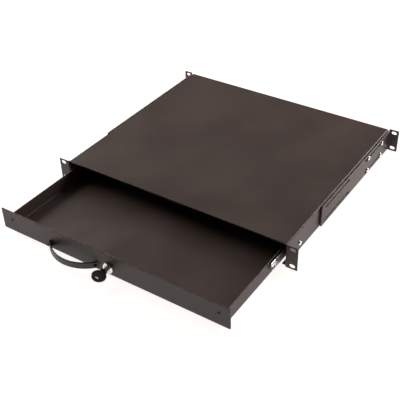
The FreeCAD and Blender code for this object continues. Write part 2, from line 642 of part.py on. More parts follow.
def build_slide(name, side):
    """Cabinet, middle and drawer member of one slide; their flanges nest round two pairs of ball rows."""
    races = Races()
    outer_groove = (races.outer_row, races.outer_balls, races.groove)
    outer_bead = (races.outer_row, races.outer_balls, races.bead)
    inner_groove = (races.inner_row, races.inner_balls, races.groove)
    inner_bead = (races.inner_row, races.inner_balls, races.bead)

    cabinet = new_body(f"cabinet_{name}_body")
    add(cabinet, "XZ", SLIDE_FRONT, f"{SLIDE_REAR} - {SLIDE_FRONT}", channel, side, (0, races.sheet),
        amount_of("outer_tip"), races.cabinet, [outer_bead], [outer_groove])
    cut(cabinet, "YZ", *side_span(side, f"{CASE_INNER} - 2 * slide_sheet", CASE_INNER), slide_holes)
    node(cabinet, f"slide_cabinet_member_{name}")

    middle = new_body(f"middle_{name}_body")
    inset = amount_of("middle_inset")
    add(middle, "XZ", MIDDLE_FRONT, f"{MIDDLE_REAR} - {MIDDLE_FRONT}", channel, side,
        (inset, inset + races.sheet), amount_of("slide_gap - middle_tip_inset"), races.middle,
        [outer_groove, inner_bead], [outer_bead, inner_groove])
    face = f"{CASE_INNER} - middle_inset"
    cut(middle, "YZ", *side_span(side, f"{face} - 2 * slide_sheet", face), circle,
        f"{MIDDLE_FRONT} + bumper_setback", SLIDE_LEVEL, "bumper_stem")
    node(middle, f"slide_middle_member_{name}", "drawer_open / 2")

    drawer = new_body(f"drawer_{name}_body")
    gap = amount_of("slide_gap")
    add(drawer, "XZ", INNER_FRONT, f"{SLIDE_REAR} - {INNER_FRONT}", channel, side, (gap, gap - races.sheet),
        amount_of("slide_gap - inner_tip_inset"), races.drawer, [inner_groove], [inner_bead])
    cut(drawer, "YZ", *side_span(side, TRAY_SIDE, f"{TRAY_SIDE} + 2 * slide_sheet"), tray_side_holes)
    node(drawer, f"slide_drawer_member_{name}", "drawer_open")


def build_bumper(name, side):
    """Soft bumper pressed through the front end of the middle member's web."""
    body = new_body(f"bumper_{name}_body")
    back = f"({CASE_INNER} - middle_inset)"
    front = f"({back} - slide_sheet)"
    layers = [(back, f"{back} + bumper_thick", "bumper_radius"), (front, back, "bumper_stem"),
              (f"{front} - bumper_thick", front, "bumper_radius")]
    for inner, outer, radius in layers:
        add(body, "YZ", *side_span(side, inner, outer), circle, f"{MIDDLE_FRONT} + bumper_setback",
            SLIDE_LEVEL, radius)
    node(body, f"slide_bumper_{name}", "drawer_open / 2")


def cage_section(sketch, side, inset, reach, level):
    """C-section of a ball cage: a web at inset and a leg through each row of balls, out to reach."""
    half, web = f"({level} + cage_sheet / 2)", f"{inset} + cage_sheet"
    corners = [(inset, f"-{half}"), (reach, f"-{half}"), (reach, f"-{half} + cage_sheet"),
               (web, f"-{half} + cage_sheet"), (web, f"{half} - cage_sheet"), (reach, f"{half} - cage_sheet"),
               (reach, half), (inset, half)]
    polygon(sketch, [(f"{side} * ({CASE_INNER} - ({depth}))", f"{SLIDE_LEVEL} + {rise}")
                     for depth, rise in corners])


def ball_setbacks(front, length):
    """Y of each ball along a cage that begins at front, evenly about the cage's middle."""
    count = int(amount_of(f"({length} - 2 * cage_end) / ball_pitch")) + 1
    first = f"{front} + ({length} - {count - 1} * ball_pitch) / 2"
    return [f"{first} + {index} * ball_pitch" for index in range(count)]


def ball(centre):
    """A steel ball turned from a few chords of its outline."""
    radius = amount_of("ball_radius")
    turns = [math.pi * i / BALL_CHORDS for i in range(BALL_CHORDS + 1)]
    rim = [Vector(radius * math.sin(turn), 0, radius * math.cos(turn)) for turn in turns]
    turned = Part.Face(Part.makePolygon(rim + rim[:1])).revolve(Vector(), Vector(0, 0, 1), 360)
    turned.translate(centre)
    return turned


def ball_holes(sketch, across, setbacks):
    """The holes of a cage that its balls sit in."""
    for setback in setbacks:
        circle(sketch, across, setback, "ball_radius + race_play")


def build_cage(name, side, which, row, level, share):
    """One ball cage and its two rows of balls; share is how much of the drawer's travel they make."""
    across = f"{side} * ({CASE_INNER} - {row})"
    front, length = f"({SLIDE_FRONT} + {which}_cage_setback)", f"{which}_cage_length"
    setbacks = ball_setbacks(front, length)
    travel = f"drawer_open * {share}"
    body = new_body(f"{which}_cage_{name}_body")
    add(body, "XZ", front, length, cage_section, side, f"{which}_cage_inset", f"({row} + cage_hold)", level)
    cut(body, "XY", f"{SLIDE_LEVEL} - slide_half", "2 * slide_half", ball_holes, across, setbacks)
    node(body, f"ball_cage_{which}_{name}", travel)
    balls = [ball(spot(across, setback, f"{SLIDE_LEVEL} + {rise}")) for setback in setbacks
             for rise in (level, -level)]
    group = doc.addObject("Part::Feature", f"{which}_balls_{name}")
    group.Shape = Part.makeCompound(balls)
    node(group, f"balls_{which}_{name}", travel)


# ---------------------------------------------------------------- rear brackets

def build_bracket(name, side):
    """Sliding rear bracket: a slotted arm along the case and a slotted ear at its rear end."""
    body = new_body(f"bracket_{name}_body")
    outer_side = f"({BRACKET_SIDE} + bracket_sheet)"
    inner, outer = f"{side} * {BRACKET_SIDE}", f"{side} * {outer_side}"
    ear_front = f"{BRACKET_REAR} - bracket_sheet"
    add(body, "XY", "bracket_level - bracket_height / 2", "bracket_height", rectangle, inner, outer,
        BRACKET_FRONT, BRACKET_REAR)
    add(body, "XY", "-ear_height / 2", "ear_height", rectangle, inner, f"{side} * rack_width / 2",
        ear_front, BRACKET_REAR)
    round_edges(body, "bend_inside + bracket_sheet", lambda edge: lies(edge, "z", x=inner, y=BRACKET_REAR))
    round_edges(body, "bend_inside", lambda edge: lies(edge, "z", x=outer, y=ear_front))
    round_edges(body, "bracket_corner", lambda edge: lies(edge, "x", y=BRACKET_FRONT))
    cut_through(body, "YZ", *side_span(side, BRACKET_SIDE, outer_side), bracket_slots)
    cut_through(body, "XZ", ear_front, "bracket_sheet", ear_slots, side)
    return node(body, f"rear_bracket_{name}")


def bracket_slots(sketch):
    """Two rows of two adjusting slots."""
    front, rear = f"{BRACKET_FRONT} + front_slot_inset", f"{BRACKET_REAR} - rear_slot_inset"
    spans = [(front, f"{front} + front_slot_length"), (f"{rear} - rear_slot_length", rear)]
    for level in bracket_levels():
        for start, end in spans:
            slot(sketch, f"{start} + bracket_slot_width / 2", f"{end} - bracket_slot_width / 2", level,
                 "bracket_slot_width")


# ---------------------------------------------------------------- fasteners

def pan_screw(head_radius, head_height, shank_radius, grip):
    """A pan-head screw along +X, its head beyond the plane X = 0 and its shank through the grip before it."""
    head, height, shank, length = (amount_of(text) for text in (head_radius, head_height, shank_radius, grip))
    crown = head - height / 2
    outline = [Vector(-length, 0, 0), Vector(-length, shank, 0), Vector(0, shank, 0), Vector(0, head, 0),
               Vector(height / 2, head, 0), Vector(height, crown, 0), Vector(height, 0, 0)]
    return Part.Face(Part.makePolygon(outline + outline[:1])).revolve(Vector(), Vector(1, 0, 0), 360)


def hex_nut(across, height, hole):
    """A hexagonal nut along +X from the plane X = 0."""
    corner = across / 2 / math.cos(math.radians(30))
    rim = [Vector(0, corner * math.cos(math.radians(60 * i)), corner * math.sin(math.radians(60 * i)))
           for i in range(7)]
    block = Part.Face(Part.makePolygon(rim)).extrude(Vector(height, 0, 0))
    return block.cut(Part.makeCylinder(hole, height, Vector(), Vector(1, 0, 0)))


def fastener_group(label, pattern, spots, slide=None):
    """Separate copies of one fastener as a group; each spot is (point, direction of its head)."""
    copies = []
    for point, towards in spots:
        copy = pattern.copy()
        copy.Placement = Placement(point, Rotation(Vector(1, 0, 0), towards))
        copies.append(copy)
    group = doc.addObject("Part::Feature", f"{label}_group")
    group.Shape = Part.makeCompound(copies)
    return node(group, label, slide)


def build_side_fasteners():
    """Bracket screws, slide screws and slide rivets in the case sides."""
    arm = f"({BRACKET_SIDE} + bracket_sheet)"
    bracket_spots, slide_spots, rivet_spots = [], [], []
    screw_setback, *rivet_setbacks = SIDE_HOLES
    for side in SIDES.values():
        out = Vector(side, 0, 0)
        wall = f"{side} * {CASE_SIDE}"
        for setback in bracket_screw_setbacks():
            for level in bracket_levels():
                bracket_spots.append((spot(f"{side} * {arm}", setback, level), out))
        slide_spots.append((spot(wall, screw_setback, SLIDE_LEVEL), out))
        for setback in rivet_setbacks:
            rivet_spots.append((spot(wall, setback, SLIDE_LEVEL), out))
    grip = "bracket_sheet + bracket_gap + case_sheet"
    through = "case_sheet + slide_sheet"
    screw = ("screw_head_radius", "screw_head_height", "screw_shank")
    fastener_group("bracket_screws", pan_screw(*screw, grip), bracket_spots)
    fastener_group("slide_screws", pan_screw(*screw, through), slide_spots)
    rivet = pan_screw("rivet_head_radius", "rivet_head_height", "rivet_shank", through)
    fastener_group("slide_rivets", rivet, rivet_spots)


def build_tray_screws():
    """Screws through the tray sides into the drawer members, placed with the drawer shut."""
    screw = pan_screw("tray_screw_radius", "tray_screw_head", "rivet_shank", "tray_sheet + slide_sheet")
    inner = f"({TRAY_SIDE} - tray_sheet)"
    spots = [(spot(f"{side} * {inner}", setback, SLIDE_LEVEL), Vector(-side, 0, 0))
             for side in SIDES.values() for setback in tray_screw_setbacks()]
    fastener_group("tray_screws", screw, spots, "drawer_open")


def build_front_fasteners():
    """Handle screws, panel screws and panel nuts, placed with the drawer shut."""
    sheets = "tray_sheet + panel_sheet"
    places = [f"{side} * {PANEL_SCREW_SIDE}" for side in SIDES.values()]
    handle_screw = pan_screw("panel_screw_head", "tray_screw_head", "handle_screw_radius",
                             f"{sheets} + handle_screw_bite")
    spots = [(spot(handle_screw_place(side), TRAY_WALL_BACK, HANDLE_LEVEL), Vector(0, 1, 0))
             for side in SIDES.values()]
    fastener_group("handle_screws", handle_screw, spots, "drawer_open")
    panel_screw = pan_screw("panel_screw_head", "panel_head_height", "panel_screw_shank",
                            f"{sheets} + panel_nut_height")
    spots = [(spot(x, PANEL_FACE, PANEL_SCREW_LEVEL), Vector(0, -1, 0)) for x in places]
    fastener_group("panel_screws", panel_screw, spots, "drawer_open")
    nut = hex_nut(amount_of("panel_nut_across"), amount_of("panel_nut_height"),
                  amount_of("panel_screw_shank"))
    spots = [(spot(x, TRAY_WALL_BACK, PANEL_SCREW_LEVEL), Vector(0, 1, 0)) for x in places]
    fastener_group("panel_nuts", nut, spots, "drawer_open")


# ---------------------------------------------------------------- assembly

def build_all():
    """Every sub-part of the drawer."""
    build_case()
    build_strike()
    build_tray()
    build_panel()
    build_handle()
    build_lock_housing()
    build_lock_nut()
    build_lock_plug()
    build_lock_cam()
    build_cam_screw()
    build_key()
    races = Races()
    for name, side in SIDES.items():
        build_slide(name, side)
        build_bumper(name, side)
        build_cage(name, side, "outer", "outer_row", races.outer_balls, 0.25)
        build_cage(name, side, "inner", INNER_ROW, races.inner_balls, 0.75)
        build_bracket(name, side)
    build_side_fasteners()
    build_tray_screws()
    build_front_fasteners()


def check_and_write():
    """Stops on a failed feature or a broken shape, then writes one file for each sub-part."""
    doc.recompute()
    for item in doc.Objects:
        if "Invalid" in item.State or "Error" in item.State:
            raise RuntimeError(f"{item.Name} failed: {item.State}")
    for item in parts:
        if item.Shape.isNull() or not item.Shape.isValid():
            raise RuntimeError(f"{item.Label} has a broken shape")
    os.makedirs("parts", exist_ok=True)
    for item in parts:
        item.Shape.exportStep(f"parts/{item.Label}.step")
        print(f"{item.Label}: {len(item.Shape.Solids)} solids, {item.Shape.Volume:.0f} mm3")


build_all()
check_and_write()
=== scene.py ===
"""Sliding rack drawer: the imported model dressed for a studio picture.

Metres, in the model's own frame. Every place comes from the model. The classes below finish its
sub-assemblies and add what the solids leave out: cross-recessed screws, the cut blade of the key,
the thread of the lock, and the slim noses, windowed strips and soft stops of the slides.
"""

import logging
import math
from dataclasses import dataclass
from enum import Enum

import bmesh
import bpy
from mathutils import Matrix, Vector


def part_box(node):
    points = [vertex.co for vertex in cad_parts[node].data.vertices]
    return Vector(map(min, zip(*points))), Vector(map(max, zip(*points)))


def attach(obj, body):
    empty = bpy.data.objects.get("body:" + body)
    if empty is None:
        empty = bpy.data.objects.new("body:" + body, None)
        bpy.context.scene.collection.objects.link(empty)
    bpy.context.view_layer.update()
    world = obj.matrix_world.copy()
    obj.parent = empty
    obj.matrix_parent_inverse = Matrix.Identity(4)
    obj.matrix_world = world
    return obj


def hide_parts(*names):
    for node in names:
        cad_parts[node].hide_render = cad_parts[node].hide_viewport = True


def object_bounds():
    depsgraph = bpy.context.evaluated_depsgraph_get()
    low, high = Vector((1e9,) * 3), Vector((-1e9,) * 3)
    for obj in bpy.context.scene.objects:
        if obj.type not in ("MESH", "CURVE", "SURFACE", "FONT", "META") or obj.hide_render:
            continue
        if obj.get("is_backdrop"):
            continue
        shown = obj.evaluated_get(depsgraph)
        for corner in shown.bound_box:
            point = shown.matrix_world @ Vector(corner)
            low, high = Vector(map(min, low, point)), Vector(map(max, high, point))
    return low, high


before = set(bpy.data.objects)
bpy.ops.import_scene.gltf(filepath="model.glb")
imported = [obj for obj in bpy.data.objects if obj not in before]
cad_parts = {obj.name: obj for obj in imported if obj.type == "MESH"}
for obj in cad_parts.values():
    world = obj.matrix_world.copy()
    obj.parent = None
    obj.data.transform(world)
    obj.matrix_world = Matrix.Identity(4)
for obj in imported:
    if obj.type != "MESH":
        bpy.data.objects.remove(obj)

LOG = logging.getLogger("rack_drawer")
MM = 0.001
SMOOTH_ANGLE = math.radians(32)
OVERCUT = 1.0 * MM
# Decimals of a metre that tell two corners apart.
DECIMALS = 6
# The Mix node keeps sockets for each kind of data; these are its factor and its colours.
MIX_FACTOR, MIX_FIRST, MIX_SECOND, MIX_RESULT = 0, 6, 7, 2

Colour = tuple[float, float, float]
Point = tuple[float, float, float]
Span = tuple[float, float]
Outline = list[Span]
Profile = tuple[Span, ...]
Socket = bpy.types.NodeSocket
Sockets = bpy.types.bpy_prop_collection
Mesh = bmesh.types.BMesh
Ring = list[bmesh.types.BMVert]


class Facing(Enum):
    """Where the heads of a group of screws look."""

    OUTWARD = "away from the middle of the rack"
    INWARD = "towards the middle of the rack"
    FRONT = "towards the user"
    REAR = "into the rack"

    def direction(self, centre: Vector) -> Vector:
        """Unit vector of the heads' direction.

        Args:
            centre: middle of one screw.

        Returns:
            The direction from the shank to the head.
        """
        side = 1.0 if centre.x > 0 else -1.0
        ways = {Facing.OUTWARD: (side, 0, 0), Facing.INWARD: (-side, 0, 0),
                Facing.FRONT: (0, -1, 0), Facing.REAR: (0, 1, 0)}
        return Vector(ways[self])


class Side(Enum):
    """The two sides of the rack, as the sign of X."""

    LEFT = -1
    RIGHT = 1

    @property
    def word(self) -> str:
        """The side's name as the model's nodes and bodies end in it."""
        return self.name.lower()


# ---- shader groups

class Wiring:
    """Adds nodes to one node tree and feeds their inputs."""

    def __init__(self, tree: bpy.types.NodeTree) -> None:
        """Keeps the tree to work on."""
        self.tree = tree

    def node(self, kind: str, **settings: object) -> bpy.types.Node:
        """Adds a node.

        Args:
            kind: the node's type, without the "ShaderNode" in front.
            settings: its properties.

        Returns:
            The new node.
        """
        made = self.tree.nodes.new(kind if kind.startswith("Node") else f"ShaderNode{kind}")
        for name, value in settings.items():
            setattr(made, name, value)
        return made

    def feed(self, value: object, target: Socket) -> None:
        """Gives an input its value.

        Args:
            value: a socket to link, a number or a colour.
            target: the input.
        """
        if isinstance(value, Socket):
            self.tree.links.new(value, target)
        else:
            target.default_value = (*value, 1.0) if isinstance(value, tuple) else value

    def maths(self, operation: str, first: object, second: object = 0.0) -> Socket:
        """Adds a Math node.

        Args:
            operation: what it works out.
            first: a socket or a number.
            second: a socket or a number.

        Returns:
            The output socket.
        """
        made = self.node("Math", operation=operation)
        self.feed(first, made.inputs[0])
        self.feed(second, made.inputs[1])
        return made.outputs[0]

    def spread(self, value: Socket, low: float, high: float, to_low: object = 0.0,
               to_high: object = 1.0) -> Socket:
        """Maps a value from one range to another and clamps it.

        Args:
            value: the socket to map.
            low: start of its range.
            high: end of its range.
            to_low: what low becomes, a number or a socket.
            to_high: what high becomes, a number or a socket.

        Returns:
            The mapped socket.
        """
        made = self.node("MapRange", interpolation_type="SMOOTHSTEP")
        for name, amount in (("From Min", low), ("From Max", high), ("To Min", to_low), ("To Max", to_high),
                             ("Value", value)):
            self.feed(amount, made.inputs[name])
        return made.outputs["Result"]

    def between(self, share: Socket, low: object, high: object) -> Socket:
        """A value that is low where the share is 0 and high where it is 1."""
        return self.spread(share, 0.0, 1.0, low, high)

    def noise(self, spot: Socket, size: object, detail: float) -> Socket:
        """Adds cloudy noise whose features have a real size.

        Args:
            spot: the coordinates.
            size: feature size in metres, a number or a socket.
            detail: how many finer octaves it has.

        Returns:
            The noise value.
        """
        made = self.node("TexNoise")
        made.inputs["Detail"].default_value = detail
        self.feed(spot, made.inputs["Vector"])
        scale = self.maths("DIVIDE", 1.0, size) if isinstance(size, Socket) else 1.0 / size
        self.feed(scale, made.inputs["Scale"])
        return made.outputs["Fac"]

    def raised(self, height: Socket, depth: float, base: Socket) -> Socket:
        """Adds bumps to a surface.

        Args:
            height: the height value, 0 to 1.
            depth: what a height of 1 is, in metres.
            base: the normal to start from.

        Returns:
            The bumped normal.
        """
        made = self.node("Bump")
        for name, value in (("Strength", 1.0), ("Distance", depth), ("Height", height), ("Normal", base)):
            self.feed(value, made.inputs[name])
        return made.outputs[0]

    def tint(self, share: Socket, first: object, second: object) -> Socket:
        """Mixes two colours.

        Args:
            share: how much of the second shows.
            first: a colour or a socket.
            second: a colour or a socket.

        Returns:
            The mixed colour.
        """
        made = self.node("Mix", data_type="RGBA")
        for place, value in ((MIX_FACTOR, share), (MIX_FIRST, first), (MIX_SECOND, second)):
            self.feed(value, made.inputs[place])
        return made.outputs[MIX_RESULT]


class Effect:
    """A shader node group with named inputs and outputs, made once and used by many finishes."""

    name = "effect"
    inputs: dict[str, float] = {}
    outputs: dict[str, str] = {}

    def tree(self) -> bpy.types.NodeTree:
        """Makes the group the first time it is asked for.

        Returns:
            The group's node tree.
        """
        group = bpy.data.node_groups.get(self.name)
        if group is None:
            group = bpy.data.node_groups.new(self.name, "ShaderNodeTree")
            for label, value in self.inputs.items():
                socket = group.interface.new_socket(label, in_out="INPUT", socket_type="NodeSocketFloat")
                socket.default_value = value
            for label, kind in self.outputs.items():
                group.interface.new_socket(label, in_out="OUTPUT", socket_type=f"NodeSocket{kind}")
            wiring = Wiring(group)
            self.wire(wiring, wiring.node("NodeGroupInput").outputs, wiring.node("NodeGroupOutput").inputs)
        return group

    def wire(self, wiring: Wiring, given: Sockets, wanted: Sockets) -> None:
        """Fills the group; each effect has its own.

        Args:
            wiring: the group's tree.
            given: sockets of the group's inputs.
            wanted: sockets of the group's outputs.
        """
        raise NotImplementedError

    def use(self, wiring: Wiring, **values: float) -> Sockets:
        """Places the group in a material.

        Args:
            wiring: the material's tree.
            values: the inputs by name, with _ for each space.

        Returns:
            The group's outputs.
        """
        made = wiring.node("Group")
        made.node_tree = self.tree()
        for label, value in values.items():
            made.inputs[label.replace("_", " ")].default_value = value
        return made.outputs


class CoatTexture(Effect):
    """The fine orange peel of a sprayed or moulded skin, with slow cloudy patches."""

    name = "coat_texture"
    inputs = {"grain size": 0.0008, "patch size": 0.06}
    outputs = {"height": "Float", "patch": "Float", "fleck": "Float"}
    swell_size = 7.0
    swell_share = 0.6
    patch_range = (0.35, 0.68)
    fleck_range = (0.62, 0.74)

    def wire(self, wiring: Wiring, given: Sockets, wanted: Sockets) -> None:
        """Two octaves of peel for the height, clouds for the patches and sparse points for the flecks.

        Args:
            wiring: the group's tree.
            given: sockets of the group's inputs.
            wanted: sockets of the group's outputs.
        """
        spot = wiring.node("TexCoord").outputs["Object"]
        peel = wiring.noise(spot, given["grain size"], detail=2.0)
        coarse = wiring.maths("MULTIPLY", given["grain size"], self.swell_size)
        swell = wiring.maths("MULTIPLY", wiring.noise(spot, coarse, detail=1.0), self.swell_share)
        wiring.feed(wiring.maths("ADD", peel, swell), wanted["height"])
        clouds = wiring.noise(spot, given["patch size"], detail=4.0)
        wiring.feed(wiring.spread(clouds, *self.patch_range), wanted["patch"])
        wiring.feed(wiring.spread(peel, *self.fleck_range), wanted["fleck"])


class EdgeWearAndHighlight(Effect):
    """Where edges are, broken up as handling breaks them, and the normal of the softly rounded edge. The mask
    carries wear, and on the powder coat also a painted highlight.
    """

    name = "edge_wear_and_highlight"
    inputs = {"radius": 0.0006, "break size": 0.004}
    outputs = {"mask": "Float", "normal": "Vector"}
    samples = 6
    edge_range = (0.02, 0.22)
    gap_range = (0.38, 0.62)

    def wire(self, wiring: Wiring, given: Sockets, wanted: Sockets) -> None:
        """Compares the rounded normal with the flat one.

        Args:
            wiring: the group's tree.
            given: sockets of the group's inputs.
            wanted: sockets of the group's outputs.
        """
        rounded = wiring.node("Bevel", samples=self.samples)
        wiring.feed(given["radius"], rounded.inputs["Radius"])
        flat = wiring.node("NewGeometry").outputs["Normal"]
        match = wiring.node("VectorMath", operation="DOT_PRODUCT")
        wiring.feed(rounded.outputs["Normal"], match.inputs[0])
        wiring.feed(flat, match.inputs[1])
        edge = wiring.spread(wiring.maths("SUBTRACT", 1.0, match.outputs["Value"]), *self.edge_range)
        spot = wiring.node("TexCoord").outputs["Object"]
        gaps = wiring.spread(wiring.noise(spot, given["break size"], detail=5.0), *self.gap_range)
        wiring.feed(wiring.maths("MULTIPLY", edge, gaps), wanted["mask"])
        wiring.feed(rounded.outputs["Normal"], wanted["normal"])


class SettledDust(Effect):
    """A thin film of dust on what faces up."""

    name = "settled_dust"
    inputs = {"patch size": 0.05}
    outputs = {"mask": "Float"}
    up_range = (0.5, 1.0)
    cloud_range = (0.3, 0.75)
    speck_size = 0.0009
    speck_range = (0.70, 0.76)

    def wire(self, wiring: Wiring, given: Sockets, wanted: Sockets) -> None:
        """Upward normals times clouds and specks.

        Args:
            wiring: the group's tree.
            given: sockets of the group's inputs.
            wanted: sockets of the group's outputs.
        """
        facing = wiring.node("SeparateXYZ")
        wiring.feed(wiring.node("NewGeometry").outputs["Normal"], facing.inputs[0])
        up = wiring.spread(facing.outputs["Z"], *self.up_range)
        spot = wiring.node("TexCoord").outputs["Object"]
        clouds = wiring.spread(wiring.noise(spot, given["patch size"], detail=6.0), *self.cloud_range)
        specks = wiring.spread(wiring.noise(spot, self.speck_size, detail=1.0), *self.speck_range)
        film = wiring.maths("MULTIPLY", up, clouds)
        wiring.feed(wiring.maths("MAXIMUM", film, wiring.maths("MULTIPLY", up, specks)), wanted["mask"])


class RolledLines(Effect):
    """The faint lines that rolling and drawing leave along metal that runs front to back."""

    name = "rolled_lines"
    inputs = {"line size": 0.0004, "stretch": 60.0, "cloud size": 0.012}
    outputs = {"height": "Float", "streak": "Float", "cloud": "Float"}
    contrast = (0.35, 0.65)

    def wire(self, wiring: Wiring, given: Sockets, wanted: Sockets) -> None:
        """Noise squeezed across the rolling direction, and plain clouds.

        Args:
            wiring: the group's tree.
            given: sockets of the group's inputs.
            wanted: sockets of the group's outputs.
        """
        spot = wiring.node("TexCoord").outputs["Object"]
        parts = wiring.node("SeparateXYZ")
        wiring.feed(spot, parts.inputs[0])
        drawn = wiring.node("CombineXYZ")
        wiring.feed(parts.outputs["X"], drawn.inputs["X"])
        wiring.feed(wiring.maths("DIVIDE", parts.outputs["Y"], given["stretch"]), drawn.inputs["Y"])
        wiring.feed(parts.outputs["Z"], drawn.inputs["Z"])
        lines = wiring.noise(drawn.outputs[0], given["line size"], detail=3.0)
        wiring.feed(lines, wanted["height"])
        wiring.feed(wiring.spread(lines, *self.contrast), wanted["streak"])
        clouds = wiring.noise(spot, given["cloud size"], detail=4.0)
        wiring.feed(wiring.spread(clouds, *self.contrast), wanted["cloud"])


# ---- finishes

@dataclass(frozen=True)
class Finish:
    """A finish that makes its own material."""

    name: str
    colour: Colour

    def material(self) -> bpy.types.Material:
        """Makes the material the first time it is asked for.

        Returns:
            The finish as a material.
        """
        label = f"{self.name}_finish"
        made = bpy.data.materials.get(label)
        if made is None:
            made = bpy.data.materials.new(label)
            made.use_nodes = True
            made.node_tree.nodes.clear()
            wiring = Wiring(made.node_tree)
            shader = wiring.node("BsdfPrincipled")
            self.shade(wiring, shader.inputs)
            wiring.feed(shader.outputs[0], wiring.node("OutputMaterial").inputs["Surface"])
        return made

    def shade(self, wiring: Wiring, surface: Sockets) -> None:
        """Feeds the shader; each finish has its own.

        Args:
            wiring: the material's tree.
            surface: inputs of the Principled BSDF.
        """
        raise NotImplementedError


@dataclass(frozen=True)
class PowderCoat(Finish):
    """Baked powder coat: satin, a fine orange peel, lighter at the edges as wear and as a painted highlight,
    a little dusty.
    """

    patch_colour: Colour
    # Colour of the edges: rubbed wear, and a painted highlight where the bends would catch light.
    rubbed_and_highlight_colour: Colour
    dust_colour: Colour = (0.30, 0.27, 0.24)
    roughness: float = 0.42
    rubbed_roughness: float = 0.26
    grain_size: float = 0.0009
    patch_size: float = 0.09
    peel_depth: float = 0.000012
    edge_radius: float = 0.0022
    edge_share: float = 0.75
    edge_break: float = 0.006
    dust_share: float = 0.05
    dust_patch: float = 0.11
    gloss_level: float = 0.34
    patch_gloss: Span = (-0.04, 0.05)
    fleck_gloss: float = 0.06

    def shade(self, wiring: Wiring, surface: Sockets) -> None:
        """Coat colour with patches, then edges lightened as wear and as a painted highlight, then dust.

        Args:
            wiring: the material's tree.
            surface: inputs of the Principled BSDF.
        """
        coat = CoatTexture().use(wiring, grain_size=self.grain_size, patch_size=self.patch_size)
        edge = EdgeWearAndHighlight().use(wiring, radius=self.edge_radius, break_size=self.edge_break)
        dust = SettledDust().use(wiring, patch_size=self.dust_patch)
        # The edge mask lightens the coat: partly wear, partly a painted highlight.
        rubbed_and_highlight = wiring.maths("MULTIPLY", edge["mask"], self.edge_share)
        dusty = wiring.maths("MULTIPLY", dust["mask"], self.dust_share)
        body = wiring.tint(coat["patch"], self.colour, self.patch_colour)
        worn = wiring.tint(rubbed_and_highlight, body, self.rubbed_and_highlight_colour)
        wiring.feed(wiring.tint(dusty, worn, self.dust_colour), surface["Base Color"])
        gloss = wiring.between(coat["patch"], *(self.roughness + shift for shift in self.patch_gloss))
        speckled = wiring.maths("ADD", gloss, wiring.maths("MULTIPLY", coat["fleck"], self.fleck_gloss))
        wiring.feed(wiring.between(rubbed_and_highlight, speckled, self.rubbed_roughness), surface["Roughness"])
        wiring.feed(wiring.raised(coat["height"], self.peel_depth, edge["normal"]), surface["Normal"])
        wiring.feed(self.gloss_level, surface["Specular IOR Level"])


@dataclass(frozen=True)
class Moulding(Finish):
    """Moulded plastic with a spark-eroded grain and polished wear on its corners."""

    worn_colour: Colour
    roughness: float = 0.42
    worn_roughness: float = 0.25
    grain_size: float = 0.0005
    grain_depth: float = 0.00001
    patch_size: float = 0.02
    patch_shade: float = 0.8
    patch_gloss: float = 0.07
    edge_radius: float = 0.0008
    edge_break: float = 0.005
    edge_share: float = 0.5
    coat_weight: float = 0.0
    coat_roughness: float = 0.12

    def shade(self, wiring: Wiring, surface: Sockets) -> None:
        """Grain, patches and handled corners.

        Args:
            wiring: the material's tree.
            surface: inputs of the Principled BSDF.
        """
        coat = CoatTexture().use(wiring, grain_size=self.grain_size, patch_size=self.patch_size)
        edge = EdgeWearAndHighlight().use(wiring, radius=self.edge_radius, break_size=self.edge_break)
        body = wiring.tint(coat["patch"], self.colour, tuple(self.patch_shade * part for part in self.colour))
        worn = wiring.maths("MULTIPLY", edge["mask"], self.edge_share)
        wiring.feed(wiring.tint(worn, body, self.worn_colour), surface["Base Color"])
        gloss = wiring.between(coat["patch"], self.roughness, self.roughness + self.patch_gloss)
        wiring.feed(wiring.between(edge["mask"], gloss, self.worn_roughness), surface["Roughness"])
        wiring.feed(wiring.raised(coat["height"], self.grain_depth, edge["normal"]), surface["Normal"])
        wiring.feed(self.coat_weight, surface["Coat Weight"])
        wiring.feed(self.coat_roughness, surface["Coat Roughness"])


@dataclass(frozen=True)
class BareMetal(Finish):
    """Plated or polished metal with rolling lines, clouds in the plating and bright edges."""

    clouds: Colour
    roughness: float
    line_size: float = 0.0004
    stretch: float = 60.0
    line_depth: float = 0.000004
    line_gloss: Span = (0.75, 1.25)
    edge_radius: float = 0.0003
    edge_break: float = 0.002
    edge_light: float = 1.12

    def shade(self, wiring: Wiring, surface: Sockets) -> None:
        """Clouded plating, lines in the gloss and the bump, edges rubbed bright.

        Args:
            wiring: the material's tree.
            surface: inputs of the Principled BSDF.
        """
        lines = RolledLines().use(wiring, line_size=self.line_size, stretch=self.stretch)
        edge = EdgeWearAndHighlight().use(wiring, radius=self.edge_radius, break_size=self.edge_break)
        body = wiring.tint(lines["cloud"], self.colour, self.clouds)
        bright = tuple(min(1.0, self.edge_light * part) for part in self.colour)
        wiring.feed(wiring.tint(edge["mask"], body, bright), surface["Base Color"])
        wiring.feed(1.0, surface["Metallic"])
        gloss = wiring.between(lines["streak"], *(share * self.roughness for share in self.line_gloss))
        wiring.feed(gloss, surface["Roughness"])
        wiring.feed(wiring.raised(lines["height"], self.line_depth, edge["normal"]), surface["Normal"])


@dataclass(frozen=True)
class StudioFloor(Finish):
    """White light table: matt, and lit through from below."""

    glow: float = 0.96
    glow_colour: Colour = (1.0, 0.96, 0.935)
    grain_size: float = 0.004
    patch_size: float = 0.5
    patch_shade: float = 0.985
    roughness: Span = (0.85, 0.95)

    def shade(self, wiring: Wiring, surface: Sockets) -> None:
        """Pale, with the faintest unevenness.

        Args:
            wiring: the material's tree.
            surface: inputs of the Principled BSDF.
        """
        coat = CoatTexture().use(wiring, grain_size=self.grain_size, patch_size=self.patch_size)
        for place, shade in (("Base Color", self.colour), ("Emission Color", self.glow_colour)):
            dim = tuple(self.patch_shade * part for part in shade)
            wiring.feed(wiring.tint(coat["patch"], shade, dim), surface[place])
        wiring.feed(self.glow, surface["Emission Strength"])
        wiring.feed(wiring.between(coat["patch"], *self.roughness), surface["Roughness"])
        wiring.feed(0.0, surface["Specular IOR Level"])


